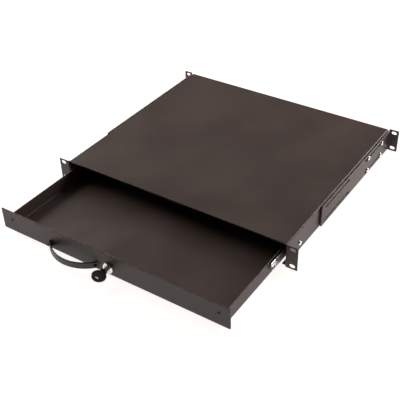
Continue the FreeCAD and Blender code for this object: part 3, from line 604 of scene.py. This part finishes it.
# How metal looks that was turned on a lathe or cold headed: no lines front to back.
TURNED = {"stretch": 1.0, "line_depth": 0.000002}
# The powder coat's rubbed colour is wear and a painted highlight along every edge.
COAT = PowderCoat("black_powder_coat", (0.040, 0.026, 0.023), patch_colour=(0.044, 0.029, 0.025),
                  rubbed_and_highlight_colour=(0.24, 0.20, 0.17))
PLASTIC = Moulding("black_plastic", (0.022, 0.021, 0.018), worn_colour=(0.06, 0.058, 0.05))
KEY_PLASTIC = Moulding("key_plastic", (0.012, 0.010, 0.009), worn_colour=(0.04, 0.035, 0.03),
                       roughness=0.24, coat_weight=0.3, edge_radius=0.0006)
BUMPER = Moulding("bumper_plastic", (0.035, 0.034, 0.033), worn_colour=(0.08, 0.08, 0.08), roughness=0.5,
                  grain_size=0.0003, edge_radius=0.0002)
CHROME = BareMetal("chrome", (0.80, 0.78, 0.75), clouds=(0.74, 0.72, 0.69), roughness=0.2,
                   stretch=1.0, line_depth=0.000001, edge_radius=0.0005)
ZINC = BareMetal("zinc_plate", (0.78, 0.79, 0.80), clouds=(0.66, 0.68, 0.70), roughness=0.24)
SLIDE_ZINC = BareMetal("slide_zinc", (0.96, 0.96, 0.95), clouds=(0.90, 0.91, 0.91), roughness=0.36)
# A darker metal as painted shade: the drawer members' front ends and the strips under the noses stand darker
# than the zinc above them.
SHADED_SLIDE_METAL = BareMetal("shaded_slide_metal", (0.62, 0.62, 0.60), clouds=(0.50, 0.50, 0.49), roughness=0.36)
# Zinc darkened as painted shade, for the lock's parts behind the panel so that they catch no highlight.
PAINTED_SHADE_ZINC = BareMetal("painted_shade_zinc", (0.20, 0.18, 0.16), clouds=(0.14, 0.13, 0.12), roughness=0.4)
PLUG_NICKEL = BareMetal("plug_nickel", (0.88, 0.85, 0.81), clouds=(0.80, 0.78, 0.74),
                        roughness=0.55, **TURNED)
NICKEL = BareMetal("nickel_steel", (0.72, 0.68, 0.61), clouds=(0.64, 0.60, 0.54), roughness=0.2,
                   stretch=20.0)
BRIGHT_SCREW = BareMetal("bright_screw", (0.85, 0.84, 0.82), clouds=(0.76, 0.75, 0.73),
                         roughness=0.22, **TURNED)
BLACK_SCREW = BareMetal("black_screw", (0.05, 0.047, 0.045), clouds=(0.035, 0.033, 0.032),
                        roughness=0.34, **TURNED)
BALL_STEEL = BareMetal("ball_steel", (0.72, 0.72, 0.73), clouds=(0.66, 0.66, 0.68), roughness=0.07,
                       stretch=1.0, line_depth=0.0000004, edge_radius=0.0002)
FLOOR = StudioFloor("studio_floor", (0.30, 0.30, 0.30))


# ---- meshes

def coat_nodes(finish: Finish, *nodes: str) -> None:
    """Gives nodes of the model a finish.

    Args:
        finish: the finish.
        nodes: the nodes' names.
    """
    for name in nodes:
        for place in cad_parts[name].material_slots:
            place.material = finish.material()
        LOG.info("%s: %s", name, finish.name)


def add_object(name: str, content: object) -> bpy.types.Object:
    """Makes an object and links it into the scene.

    Args:
        name: its name.
        content: data of a lamp or a camera, or a mesh, which is freed.

    Returns:
        The new object.
    """
    data = content
    if isinstance(content, Mesh):
        data = bpy.data.meshes.new(name)
        content.to_mesh(data)
        content.free()
    made = bpy.data.objects.new(name, data)
    bpy.context.scene.collection.objects.link(made)
    return made


def new_piece(name: str, mesh: Mesh, finish: Finish, body: str) -> bpy.types.Object:
    """Makes a visible piece of a mesh.

    Args:
        name: the piece's name.
        mesh: its mesh, in the model's frame; it is freed.
        finish: what it is finished in.
        body: the body of the model that it moves with.

    Returns:
        The new object.
    """
    bmesh.ops.recalc_face_normals(mesh, faces=mesh.faces)
    piece = add_object(name, mesh)
    data = piece.data
    data.materials.append(finish.material())
    data.set_sharp_from_angle(angle=SMOOTH_ANGLE)
    for face in data.polygons:
        face.use_smooth = True
    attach(piece, body)
    LOG.info("%s: %d faces on %s", name, len(data.polygons), body)
    return piece


def rectangle(first: Span, last: Span) -> Outline:
    """The four corners of a rectangle, given two opposite ones."""
    return [first, (last[0], first[1]), last, (first[0], last[1])]


def bridge(mesh: Mesh, first: Ring, second: Ring) -> None:
    """Joins two rings of corners with a band of faces.

    Args:
        mesh: the mesh that grows.
        first: corners of one ring, in order.
        second: corners of the other, as many and in the same order.
    """
    for step in range(len(first)):
        after = (step + 1) % len(first)
        mesh.faces.new((first[step], first[after], second[after], second[step]))


def lathe(outline: Outline, steps: int = 32) -> Mesh:
    """Turns an outline about the X axis.

    Args:
        outline: (distance along the axis, radius) of each corner, the first and last on the axis.
        steps: corners of each ring.

    Returns:
        The closed mesh.
    """
    made = bmesh.new()
    ends = [made.verts.new((outline[0][0], 0, 0)), made.verts.new((outline[-1][0], 0, 0))]
    turns = [math.tau * step / steps for step in range(steps)]
    rings = [[made.verts.new((along, radius * math.cos(turn), radius * math.sin(turn))) for turn in turns]
             for along, radius in outline[1:-1]]
    for step in range(steps):
        after = (step + 1) % steps
        made.faces.new((ends[0], rings[0][after], rings[0][step]))
        made.faces.new((ends[1], rings[-1][step], rings[-1][after]))
    for low, high in zip(rings, rings[1:]):
        bridge(made, low, high)
    bmesh.ops.recalc_face_normals(made, faces=made.faces)
    return made


def prism(outline: Outline, low: float, high: float) -> Mesh:
    """Extrudes an outline of the XY plane along Z.

    Args:
        outline: its corners in order.
        low: where it starts.
        high: where it ends.

    Returns:
        The closed mesh.
    """
    made = bmesh.new()
    base = [made.verts.new((x, y, low)) for x, y in outline]
    head = [made.verts.new((x, y, high)) for x, y in outline]
    made.faces.new(base)
    made.faces.new(head)
    bridge(made, base, head)
    bmesh.ops.recalc_face_normals(made, faces=made.faces)
    return made


def carved(block: Mesh, cutter: Mesh) -> Mesh:
    """Cuts one closed mesh out of another.

    Args:
        block: what is cut; it is freed.
        cutter: what is taken away; it is freed.

    Returns:
        What is left.
    """
    objects = [add_object("block", block), add_object("cutter", cutter)]
    cut = objects[0].modifiers.new("cut", "BOOLEAN")
    cut.operation = "DIFFERENCE"
    cut.solver = "EXACT"
    cut.object = objects[1]
    bpy.context.view_layer.update()
    shaped = objects[0].evaluated_get(bpy.context.evaluated_depsgraph_get())
    left = bmesh.new()
    left.from_mesh(shaped.to_mesh())
    shaped.to_mesh_clear()
    for thing in objects:
        data = thing.data
        bpy.data.objects.remove(thing)
        bpy.data.meshes.remove(data)
    return left


def merge(target: Mesh, source: Mesh, place: Matrix) -> None:
    """Moves one mesh and adds it to another.

    Args:
        target: the mesh that grows.
        source: what is added; it is freed.
        place: where it goes.
    """
    copies = {corner: target.verts.new(place @ corner.co) for corner in source.verts}
    for face in source.faces:
        target.faces.new([copies[corner] for corner in face.verts])
    source.free()


def solids_of(node: str) -> list[list[Vector]]:
    """Corners of each separate solid of a node.

    Args:
        node: the node's name.

    Returns:
        One list of corners for each solid.
    """
    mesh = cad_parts[node].data
    keys = [tuple(round(part, DECIMALS) for part in corner.co) for corner in mesh.vertices]
    leader = {key: key for key in keys}

    def lead(key: tuple[float, ...]) -> tuple[float, ...]:
        """Finds the key that stands for a whole solid.

        Args:
            key: a corner's place.

        Returns:
            The leading corner's place.
        """
        while leader[key] != key:
            leader[key] = leader[leader[key]]
            key = leader[key]
        return key

    for face in mesh.polygons:
        first, *others = (keys[number] for number in face.vertices)
        for other in others:
            leader[lead(other)] = lead(first)
    solids: dict[tuple[float, ...], list[Vector]] = {}
    for key in leader:
        solids.setdefault(lead(key), []).append(Vector(key))
    return list(solids.values())


# ---- sub-assemblies

@dataclass
class CrossScrews:
    """Domed screws with a cross recess that stand for one node of plain screws.

    The recess, rim, dome and tip are shares of the head's radius and height and the shank's radius.
    """

    node: str
    body: str
    facing: Facing
    finish: Finish
    slot: str
    recess_reach: float = 0.58
    recess_width: float = 0.2
    recess_depth: float = 0.62
    recess_taper: float = 0.3
    recess_top: float = 1.2
    rim_height: float = 0.3
    rim_chamfer: Span = (0.1, 0.96)
    dome_angles: tuple[float, ...] = (12, 28, 44, 60, 74)
    dome_power: float = 0.55
    tip_length: float = 0.3
    tip_radius: float = 0.8
    same_radius: float = 0.99
    seat_gap: float = 0.1 * MM

    def build(self) -> None:
        """Measures each screw of the node and puts a detailed one in its place."""
        whole = bmesh.new()
        for corners in solids_of(self.node):
            centre = sum(corners, Vector()) / len(corners)
            way = self.facing.direction(centre)
            turn = Vector((1, 0, 0)).rotation_difference(way).to_matrix()
            axis = self.axis_of(corners, way)
            lengths = [(corner - axis).dot(way) for corner in corners]
            reaches = [(corner - axis - way * length).length for corner, length in zip(corners, lengths)]
            head_radius = max(reaches)
            sizes = list(zip(lengths, reaches))
            seat = min(length for length, reach in sizes if reach > self.same_radius * head_radius)
            shank = max(reach for length, reach in sizes if length < seat - self.seat_gap)
            screw = self.screw(head_radius, max(lengths) - seat, shank, seat - min(lengths))
            merge(whole, screw, Matrix.Translation(axis + way * seat) @ turn.to_4x4())
        piece = new_piece(f"{self.node}_recessed", whole, self.finish, self.body)
        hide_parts(self.node)

    def axis_of(self, corners: list[Vector], way: Vector) -> Vector:
        """A point on the axis of a screw.

        Args:
            corners: the screw's corners.
            way: direction of its head.

        Returns:
            The middle of its box across the axis, at the origin along it.
        """
        low = Vector([min(corner[i] for corner in corners) for i in range(3)])
        high = Vector([max(corner[i] for corner in corners) for i in range(3)])
        middle = (low + high) / 2
        return middle - way * middle.dot(way)

    def screw(self, radius: float, height: float, shank: float, length: float) -> Mesh:
        """One screw along X, its head's seat at X = 0.

        Args:
            radius: radius of the head.
            height: height of the head.
            shank: radius of the shank.
            length: length of the shank.

        Returns:
            The screw's mesh.
        """
        rim = self.rim_height * height
        dome = [(rim + (height - rim) * math.sin(turn), radius * math.cos(turn) ** self.dome_power)
                for turn in map(math.radians, self.dome_angles)]
        chamfer_height, chamfer_radius = self.rim_chamfer
        outline = [(-length, 0), (-length, self.tip_radius * shank),
                   (-length + self.tip_length * shank, shank), (0, shank), (0, chamfer_radius * radius),
                   (chamfer_height * height, radius), (rim, radius), *dome, (height, 0)]
        return carved(lathe(outline), self.cross(radius, height))

    def cross(self, radius: float, height: float) -> Mesh:
        """The tapered cross that the driver's tip leaves in the head.

        Args:
            radius: radius of the head.
            height: height of the head.

        Returns:
            The cutter's mesh, along X.
        """
        made = bmesh.new()
        half = self.recess_width * radius / 2
        levels = ((height * (1 - self.recess_depth), self.recess_taper * self.recess_reach * radius),
                  (height * self.recess_top, self.recess_reach * radius))
        for crosswise in (False, True):
            ends = []
            for along, reach in levels:
                ends.append([made.verts.new((along, y, z) if crosswise else (along, -z, y))
                             for y, z in rectangle((-reach, -half), (reach, half))])
                made.faces.new(ends[-1])
            bridge(made, *ends)
        bmesh.ops.recalc_face_normals(made, faces=made.faces)
        return made


class Assembly:
    """A part of the drawer that is dressed first and then given its small pieces."""

    def dress(self) -> None:
        """Gives the model's nodes their finishes; each sub-assembly has its own."""
        raise NotImplementedError

    def build(self) -> None:
        """Adds small pieces; a sub-assembly without any leaves this as it is."""


@dataclass
class CaseShell(Assembly):
    """The folded case, the strike under its top and what is fixed through its sides."""

    body: str = "chassis"

    def dress(self) -> None:
        """Powder coat on the sheet metal, zinc on the rivets."""
        coat_nodes(COAT, "case", "strike_bracket")
        coat_nodes(ZINC, "slide_rivets")

    def build(self) -> None:
        """Recessed screws for the brackets and the slides."""
        for node in ("bracket_screws", "slide_screws"):
            CrossScrews(node, self.body, Facing.OUTWARD, BRIGHT_SCREW, "bright_screw").build()


@dataclass
class RearBrackets(Assembly):
    """The two brackets that slide along the case to reach the rear posts."""

    def dress(self) -> None:
        """Powder coat."""
        coat_nodes(COAT, *(f"rear_bracket_{side.word}" for side in Side))


@dataclass
class TelescopicSlides(Assembly):
    """The two ball-bearing slides, whose middle members end in slim noses in front.

    A nose is a wall on a ledge; below it hangs a windowed strip with a soft stop on a pin. The drawer
    members end behind it. Insets and reaches start at the middle member's face next to the tray,
    rises and drops at its top, profiles are shares of a height and a radius.
    """

    drawer_setback: float = 7.0 * MM
    nose_length: float = 55.0 * MM
    nose_setback: float = 2.5 * MM
    nose_inset: float = 1.5 * MM
    nose_reach: float = 4.1 * MM
    seam: float = 1.0 * MM
    wall_rise: float = 5.2 * MM
    wall_thick: float = 1.0 * MM
    bend_radius: float = 0.8 * MM
    bend_angles: tuple[float, ...] = (90, 60, 30, 0)
    ledge_thick: float = 0.65 * MM
    strip_drop: float = 8.7 * MM
    window_pitch: float = 5.0 * MM
    window_length: float = 3.0 * MM
    window_height: float = 2.6 * MM
    stop_radius: float = 2.9 * MM
    stop_height: float = 1.3 * MM
    stop_behind: float = 2.9 * MM
    stop_drop: float = 3.1 * MM
    stop_profile: Profile = ((0, 0), (0, 0.94), (0.2, 1), (0.75, 1), (1, 0.88), (1, 0.66), (0.5, 0.52),
                             (0.5, 0))
    pin_radius: float = 2.0 * MM
    pin_shank: float = 0.5
    pin_profile: Profile = ((0, 0.5), (0, 1), (0.6, 1), (0.9, 0.8), (1.05, 0.4), (1.1, 0))
    clearance: float = 0.1 * MM
    same_place: float = 0.001 * MM

    def dress(self) -> None:
        """Zinc on the cabinet members and cages, steel balls; the rest is made anew."""
        for side in Side:
            word = side.word
            coat_nodes(SLIDE_ZINC, f"slide_cabinet_member_{word}", f"ball_cage_outer_{word}",
                       f"ball_cage_inner_{word}")
            coat_nodes(BALL_STEEL, f"balls_outer_{word}", f"balls_inner_{word}")

    def build(self) -> None:
        """The drawer members, the middle members with their noses, the strips and the stops."""
        for side in Side:
            self.build_drawer_member(side)
            self.build_middle_member(side)
            self.build_race(side)
            self.build_stop(side)

    def frame_of(self, side: Side) -> Matrix:
        """Maps a slide's own frame to the model's.

        Args:
            side: which slide.

        Returns:
            A matrix that takes (away from the tray, up, back), measured from the upper front corner of
            the middle member next to the tray, to the model's frame.
        """
        low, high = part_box(f"slide_middle_member_{side.word}")
        inner = low.x if side is Side.RIGHT else high.x
        return Matrix(((side.value, 0, 0, inner), (0, 0, 1, low.y), (0, 1, 0, high.z), (0, 0, 0, 1)))

    def nose_outline(self) -> Outline:
        """Section of the nose: a wall that stands on a ledge.

        Returns:
            Corners as (distance from the tray, level).
        """
        near, wall, ledge = self.nose_inset, self.nose_inset + self.wall_thick, self.ledge_thick
        bend, rise = self.bend_radius, self.wall_rise
        crown = [(wall - bend + bend * math.cos(turn), rise - bend + bend * math.sin(turn))
                 for turn in map(math.radians, self.bend_angles)]
        return [(near, -ledge), (near, rise), *crown, (wall, 0.0), (self.nose_reach, 0.0),
                (self.nose_reach, -ledge)]

    def cut_back(self, node: str, length: float) -> Mesh:
        """Copies a member without its front end.

        Args:
            node: the member's node.
            length: how much of its front end is left out.

        Returns:
            The closed mesh of the rest.
        """
        rest = bmesh.new()
        rest.from_mesh(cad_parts[node].data)
        bmesh.ops.remove_doubles(rest, verts=rest.verts, dist=self.same_place)
        cut = (0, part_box(node)[0].y + length, 0)
        bmesh.ops.bisect_plane(rest, geom=[*rest.verts, *rest.edges, *rest.faces], plane_co=cut,
                               plane_no=(0, 1, 0), clear_inner=True)
        bmesh.ops.triangle_fill(rest, edges=[edge for edge in rest.edges if edge.is_boundary])
        return rest

    def build_drawer_member(self, side: Side) -> None:
        """The member on the tray, which ends behind the nose's front end.

        Args:
            side: which slide.
        """
        node = f"slide_drawer_member_{side.word}"
        # Darkened metal, painted shade on the member's front end.
        piece = new_piece(f"slide_drawer_set_back_{side.word}", self.cut_back(node, self.drawer_setback),
                          SHADED_SLIDE_METAL, "drawer")
        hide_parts(node)

    def build_middle_member(self, side: Side) -> None:
        """Cuts the member off behind its nose and puts the slim nose in front.

        Args:
            side: which slide.
        """
        node = f"slide_middle_member_{side.word}"
        whole = self.cut_back(node, self.nose_length)
        nose = prism(self.nose_outline(), self.nose_setback, self.nose_length + self.seam)
        merge(whole, nose, self.frame_of(side))
        piece = new_piece(f"slide_middle_nosed_{side.word}", whole, SLIDE_ZINC, f"middle_slide_{side.word}")
        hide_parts(node)

    def build_race(self, side: Side) -> None:
        """The windowed strip that hangs below the nose's ledge.

        Args:
            side: which slide.
        """
        inner, outer = self.nose_reach - self.wall_thick, self.nose_reach
        start = self.nose_setback + self.stop_behind + self.stop_radius
        end = self.nose_length + self.seam
        strip = prism(rectangle((inner, self.clearance - self.ledge_thick), (outer, -self.strip_drop)),
                      self.nose_setback, end)
        level, half = -(self.ledge_thick + self.strip_drop) / 2, self.window_height / 2
        outline = rectangle((inner - OVERCUT, level - half), (outer + OVERCUT, level + half))
        windows = bmesh.new()
        for step in range(int((end - start) / self.window_pitch)):
            low = start + (step + 0.5) * self.window_pitch - self.window_length / 2
            merge(windows, prism(outline, low, low + self.window_length), Matrix.Identity(4))
        race = carved(strip, windows)
        bmesh.ops.transform(race, matrix=self.frame_of(side), verts=race.verts)
        # Darkened metal, painted shade on the strip below the nose's bright top.
        new_piece(f"slide_race_{side.word}", race, SHADED_SLIDE_METAL, f"middle_slide_{side.word}")

    def build_stop(self, side: Side) -> None:
        """The soft stop on the strip's front end, a dished disc held by a steel pin.

        Args:
            side: which slide.
        """
        height, pin, foot = self.stop_height, self.pin_radius, -self.wall_thick
        seat = self.nose_reach + self.clearance
        along = self.nose_setback + self.stop_behind
        place = self.frame_of(side) @ Matrix.Translation((seat, -self.stop_drop, along))
        disc = lathe([(level * height, share * self.stop_radius) for level, share in self.stop_profile])
        head = lathe([(foot, 0), (foot, self.pin_shank * pin),
                      *((level * height, share * pin) for level, share in self.pin_profile)])
        for name, mesh, finish, slot in (("slide_stop", disc, BUMPER, "bumper_plastic"),
                                         ("slide_stop_pin", head, BRIGHT_SCREW, "bright_screw")):
            bmesh.ops.transform(mesh, matrix=place, verts=mesh.verts)
            piece = new_piece(f"{name}_{side.word}", mesh, finish, f"middle_slide_{side.word}")
            if name == "slide_stop":
                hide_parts(f"slide_bumper_{side.word}")


@dataclass
class DrawerTray(Assembly):
    """The tray, its front panel and the handle."""

    body: str = "drawer"

    def dress(self) -> None:
        """Powder coat on the sheet metal, moulded plastic on the handle."""
        coat_nodes(COAT, "tray", "front_panel")
        coat_nodes(PLASTIC, "handle")
        coat_nodes(ZINC, "panel_nuts")

    def build(self) -> None:
        """Recessed screws for the tray, the panel and the handle."""
        CrossScrews("tray_screws", self.body, Facing.INWARD, BLACK_SCREW, "black_screw").build()
        CrossScrews("panel_screws", self.body, Facing.FRONT, BLACK_SCREW, "black_screw").build()
        # The handle's screws, zinc in the model, get the black finish as painted shade at the handle's roots.
        CrossScrews("handle_screws", self.body, Facing.REAR, BLACK_SCREW, "zinc_plate").build()


@dataclass
class CamLock(Assembly):
    """The cam lock and its key; the key's plane is turned about the lock's axis.

    The thread's start and foot and the cuts' flats are shares of their pitches. The wave is the cuts'
    least depth and its swing, as shares of the full depth, and the tip is a share of the blade's width.
    """

    turned: float = math.radians(13.6)
    bezel_step: float = 1.6 * MM
    thread_pitch: float = 1.0 * MM
    thread_depth: float = 0.35 * MM
    thread_sink: float = 0.05 * MM
    thread_foot: float = 0.45
    thread_start: float = 0.5
    thread_steps: int = 24
    blade_width: float = 7.2 * MM
    blade_thick: float = 1.9 * MM
    tooth_pitch: float = 2.2 * MM
    tooth_depth: float = 1.1 * MM
    tooth_count: int = 4
    tooth_wave: Span = (0.55, 0.45)
    tooth_turn: float = 2.3
    tooth_phase: float = 0.8
    tooth_flat: Span = (0.35, 0.6)
    tip_length: float = 1.6 * MM
    tip_width: float = 0.35
    groove_width: float = 1.6 * MM
    groove_depth: float = 0.45 * MM
    groove_stop: float = 1.0 * MM

    @property
    def axis(self) -> Vector:
        """The point where the lock's axis crosses the plane Y = 0."""
        low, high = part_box("lock_housing")
        return Vector(((low.x + high.x) / 2, 0, (low.z + high.z) / 2))

    def dress(self) -> None:
        """Chrome housing, nickel plug, zinc darkened as painted shade behind the panel, glossy plastic on the
        key's bow.
        """
        coat_nodes(CHROME, "lock_housing")
        coat_nodes(PLUG_NICKEL, "lock_plug")
        coat_nodes(PAINTED_SHADE_ZINC, "lock_nut", "lock_cam")
        coat_nodes(KEY_PLASTIC, "key_bow")

    def build(self) -> None:
        """The thread, the cut blade and the cam's screw."""
        self.build_thread()
        self.build_blade()
        # The cam's screw, zinc in the model, is darkened as painted shade.
        CrossScrews("cam_screw", "lock_core", Facing.REAR, PAINTED_SHADE_ZINC, "zinc_plate").build()

    def build_thread(self) -> None:
        """A ridge that winds round the barrel from the nut to the barrel's end."""
        low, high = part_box("lock_housing")
        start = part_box("lock_nut")[1].y
        pitch, steps = self.thread_pitch, self.thread_steps
        radius = (high.x - low.x) / 2 - self.bezel_step
        root, crest = radius - self.thread_sink, radius + self.thread_depth
        corners = ((root, -self.thread_foot), (crest, 0.0), (root, self.thread_foot))
        turns = (high.y - start) / pitch - 1
        made = bmesh.new()
        previous = None
        for step in range(int(turns * steps) + 1):
            turn = math.tau * step / steps
            along = start + pitch * (self.thread_start + step / steps)
            around = Vector((math.cos(turn), 0, math.sin(turn)))
            ring = [made.verts.new(self.axis + around * reach + Vector((0, along + shift * pitch, 0)))
                    for reach, shift in corners]
            if previous:
                bridge(made, previous, ring)
            else:
                made.faces.new(ring)
            previous = ring
        made.faces.new(previous)
        new_piece("lock_thread", made, CHROME, "drawer")

    def blade_outline(self) -> Outline:
        """Plan of the blade: straight by the bow, then cut on both edges up to the tip.

        Returns:
            Corners as (across, along) from the blade's rear face.
        """
        low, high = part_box("key_blade")
        length = high.y - low.y
        half, pitch = self.blade_width / 2, self.tooth_pitch
        first = length - self.tip_length - self.tooth_count * pitch
        least, wave = self.tooth_wave
        right = [(half, 0.0), (half, first)]
        for tooth in range(self.tooth_count):
            begin = first + tooth * pitch
            turn = self.tooth_turn * tooth + self.tooth_phase
            deep = self.tooth_depth * (least + wave * math.sin(turn) ** 2)
            right += [(half - deep, begin + share * pitch) for share in self.tooth_flat]
            right += [(half, begin + pitch)]
        right += [(self.tip_width * half, length)]
        return right + [(-across, along) for across, along in reversed(right)]

    def build_blade(self) -> None:
        """The key's steel blade with its cuts and a milled groove down each face."""
        low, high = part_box("key_blade")
        thick = self.blade_thick / 2
        blade = prism(self.blade_outline(), -thick, thick)
        bmesh.ops.triangulate(blade, faces=[face for face in blade.faces if len(face.verts) > 4])
        half, end = self.groove_width / 2, high.y - low.y
        for side in (-1, 1):
            floor, clear = side * (thick - self.groove_depth), side * 2 * thick
            outline = rectangle((-half, -OVERCUT), (half, end - self.groove_stop))
            blade = carved(blade, prism(outline, min(floor, clear), max(floor, clear)))
        turn = Matrix.Rotation(self.turned, 4, "Y")
        place = Matrix.Translation(self.axis + Vector((0, low.y, 0))) @ turn
        bmesh.ops.transform(blade, matrix=place, verts=blade.verts)
        piece = new_piece("key_blade_cut", blade, NICKEL, "key")
        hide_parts("key_blade")


# ---- studio

@dataclass
class SoftLight:
    """A large soft lamp aimed at a point of the object."""

    name: str
    place: Point
    size: float
    power: float
    target: Point = (0, 0.05, 0)
    colour: Colour = (1.0, 0.94, 0.9)

    def build(self) -> None:
        """Adds the lamp."""
        data = bpy.data.lights.new(self.name, "AREA")
        data.shape = "DISK"
        data.size = self.size
        data.energy = self.power
        data.color = self.colour
        lamp = add_object(self.name, data)
        lamp.location = self.place
        beam = Vector(self.target) - Vector(self.place)
        lamp.rotation_euler = beam.to_track_quat("-Z", "Y").to_euler()


# Broad lamps round the table; the strongest stand low at the left and behind at the right.
LAMPS = (
    SoftLight("left_lamp", (-1.6, 0.1, 0.9), size=1.2, power=35.0),
    SoftLight("rear_lamp", (0.9, 1.6, 0.9), size=1.2, power=40.0),
    SoftLight("back_lamp", (-0.9, 1.4, 1.3), size=1.6, power=2.8),
    SoftLight("top_lamp", (-0.2, 0.3, 2.2), size=1.8, power=1.5),
    SoftLight("side_lamp", (1.9, 0.1, 0.45), size=0.9, power=2.5),
    SoftLight("panel_lamp", (-0.6, -0.5, 0.12), size=0.25, power=0.35, target=(-0.2, -0.16, 0)),
)


@dataclass
class Studio:
    """Pale floor, soft light and the camera."""

    eye: Point = (0.62048, -0.80615, 0.76648)
    azimuth: float = 0.60546537
    elevation: float = 0.63456015
    roll: float = -0.03000807
    lens: float = 68.41
    floor_reach: float = 6.0
    floor_gap: float = 0.1 * MM
    sky: float = 0.02
    sky_colour: Colour = (1.0, 0.965, 0.935)

    def build(self) -> None:
        """Everything that isn't part of the object."""
        self.build_floor()
        self.build_sky()
        for lamp in LAMPS:
            lamp.build()
        self.build_camera()
        view = bpy.context.scene.view_settings
        view.view_transform = "Standard"
        view.look = "None"

    def build_floor(self) -> None:
        """A wide floor under the lowest point of the object."""
        level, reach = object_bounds()[0].z - self.floor_gap, self.floor_reach
        made = bmesh.new()
        corners = rectangle((-reach, -reach), (reach, reach))
        made.faces.new([made.verts.new((x, y, level)) for x, y in corners])
        floor = add_object("floor", made)
        floor.data.materials.append(FLOOR.material())
        floor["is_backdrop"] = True

    def build_sky(self) -> None:
        """Even, faintly warm light from all round."""
        world = bpy.data.worlds.new("studio")
        world.use_nodes = True
        ground = world.node_tree.nodes["Background"]
        ground.inputs["Color"].default_value = (*self.sky_colour, 1.0)
        ground.inputs["Strength"].default_value = self.sky
        bpy.context.scene.world = world

    def build_camera(self) -> None:
        """The camera, looking down from the front right."""
        turn, rise = self.azimuth, self.elevation
        back = Vector((math.sin(turn) * math.cos(rise), -math.cos(turn) * math.cos(rise), math.sin(rise)))
        right = (-back).cross(Vector((0, 0, 1))).normalized()
        up = back.cross(right)
        tilt = Matrix.Rotation(self.roll, 3, back)
        axes = Matrix((tilt @ right, tilt @ up, back)).transposed()
        data = bpy.data.cameras.new("camera")
        data.lens = self.lens
        camera = add_object("camera", data)
        camera.matrix_world = Matrix.Translation(Vector(self.eye)) @ axes.to_4x4()
        bpy.context.scene.camera = camera


def main() -> None:
    """Dresses the model, builds its small pieces and the studio."""
    logging.basicConfig(level=logging.INFO, format="%(name)s: %(message)s")
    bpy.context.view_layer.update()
    for assembly in (CaseShell(), RearBrackets(), TelescopicSlides(), DrawerTray(), CamLock()):
        assembly.dress()
        assembly.build()
    Studio().build()


if __name__ == "__main__":
    main()
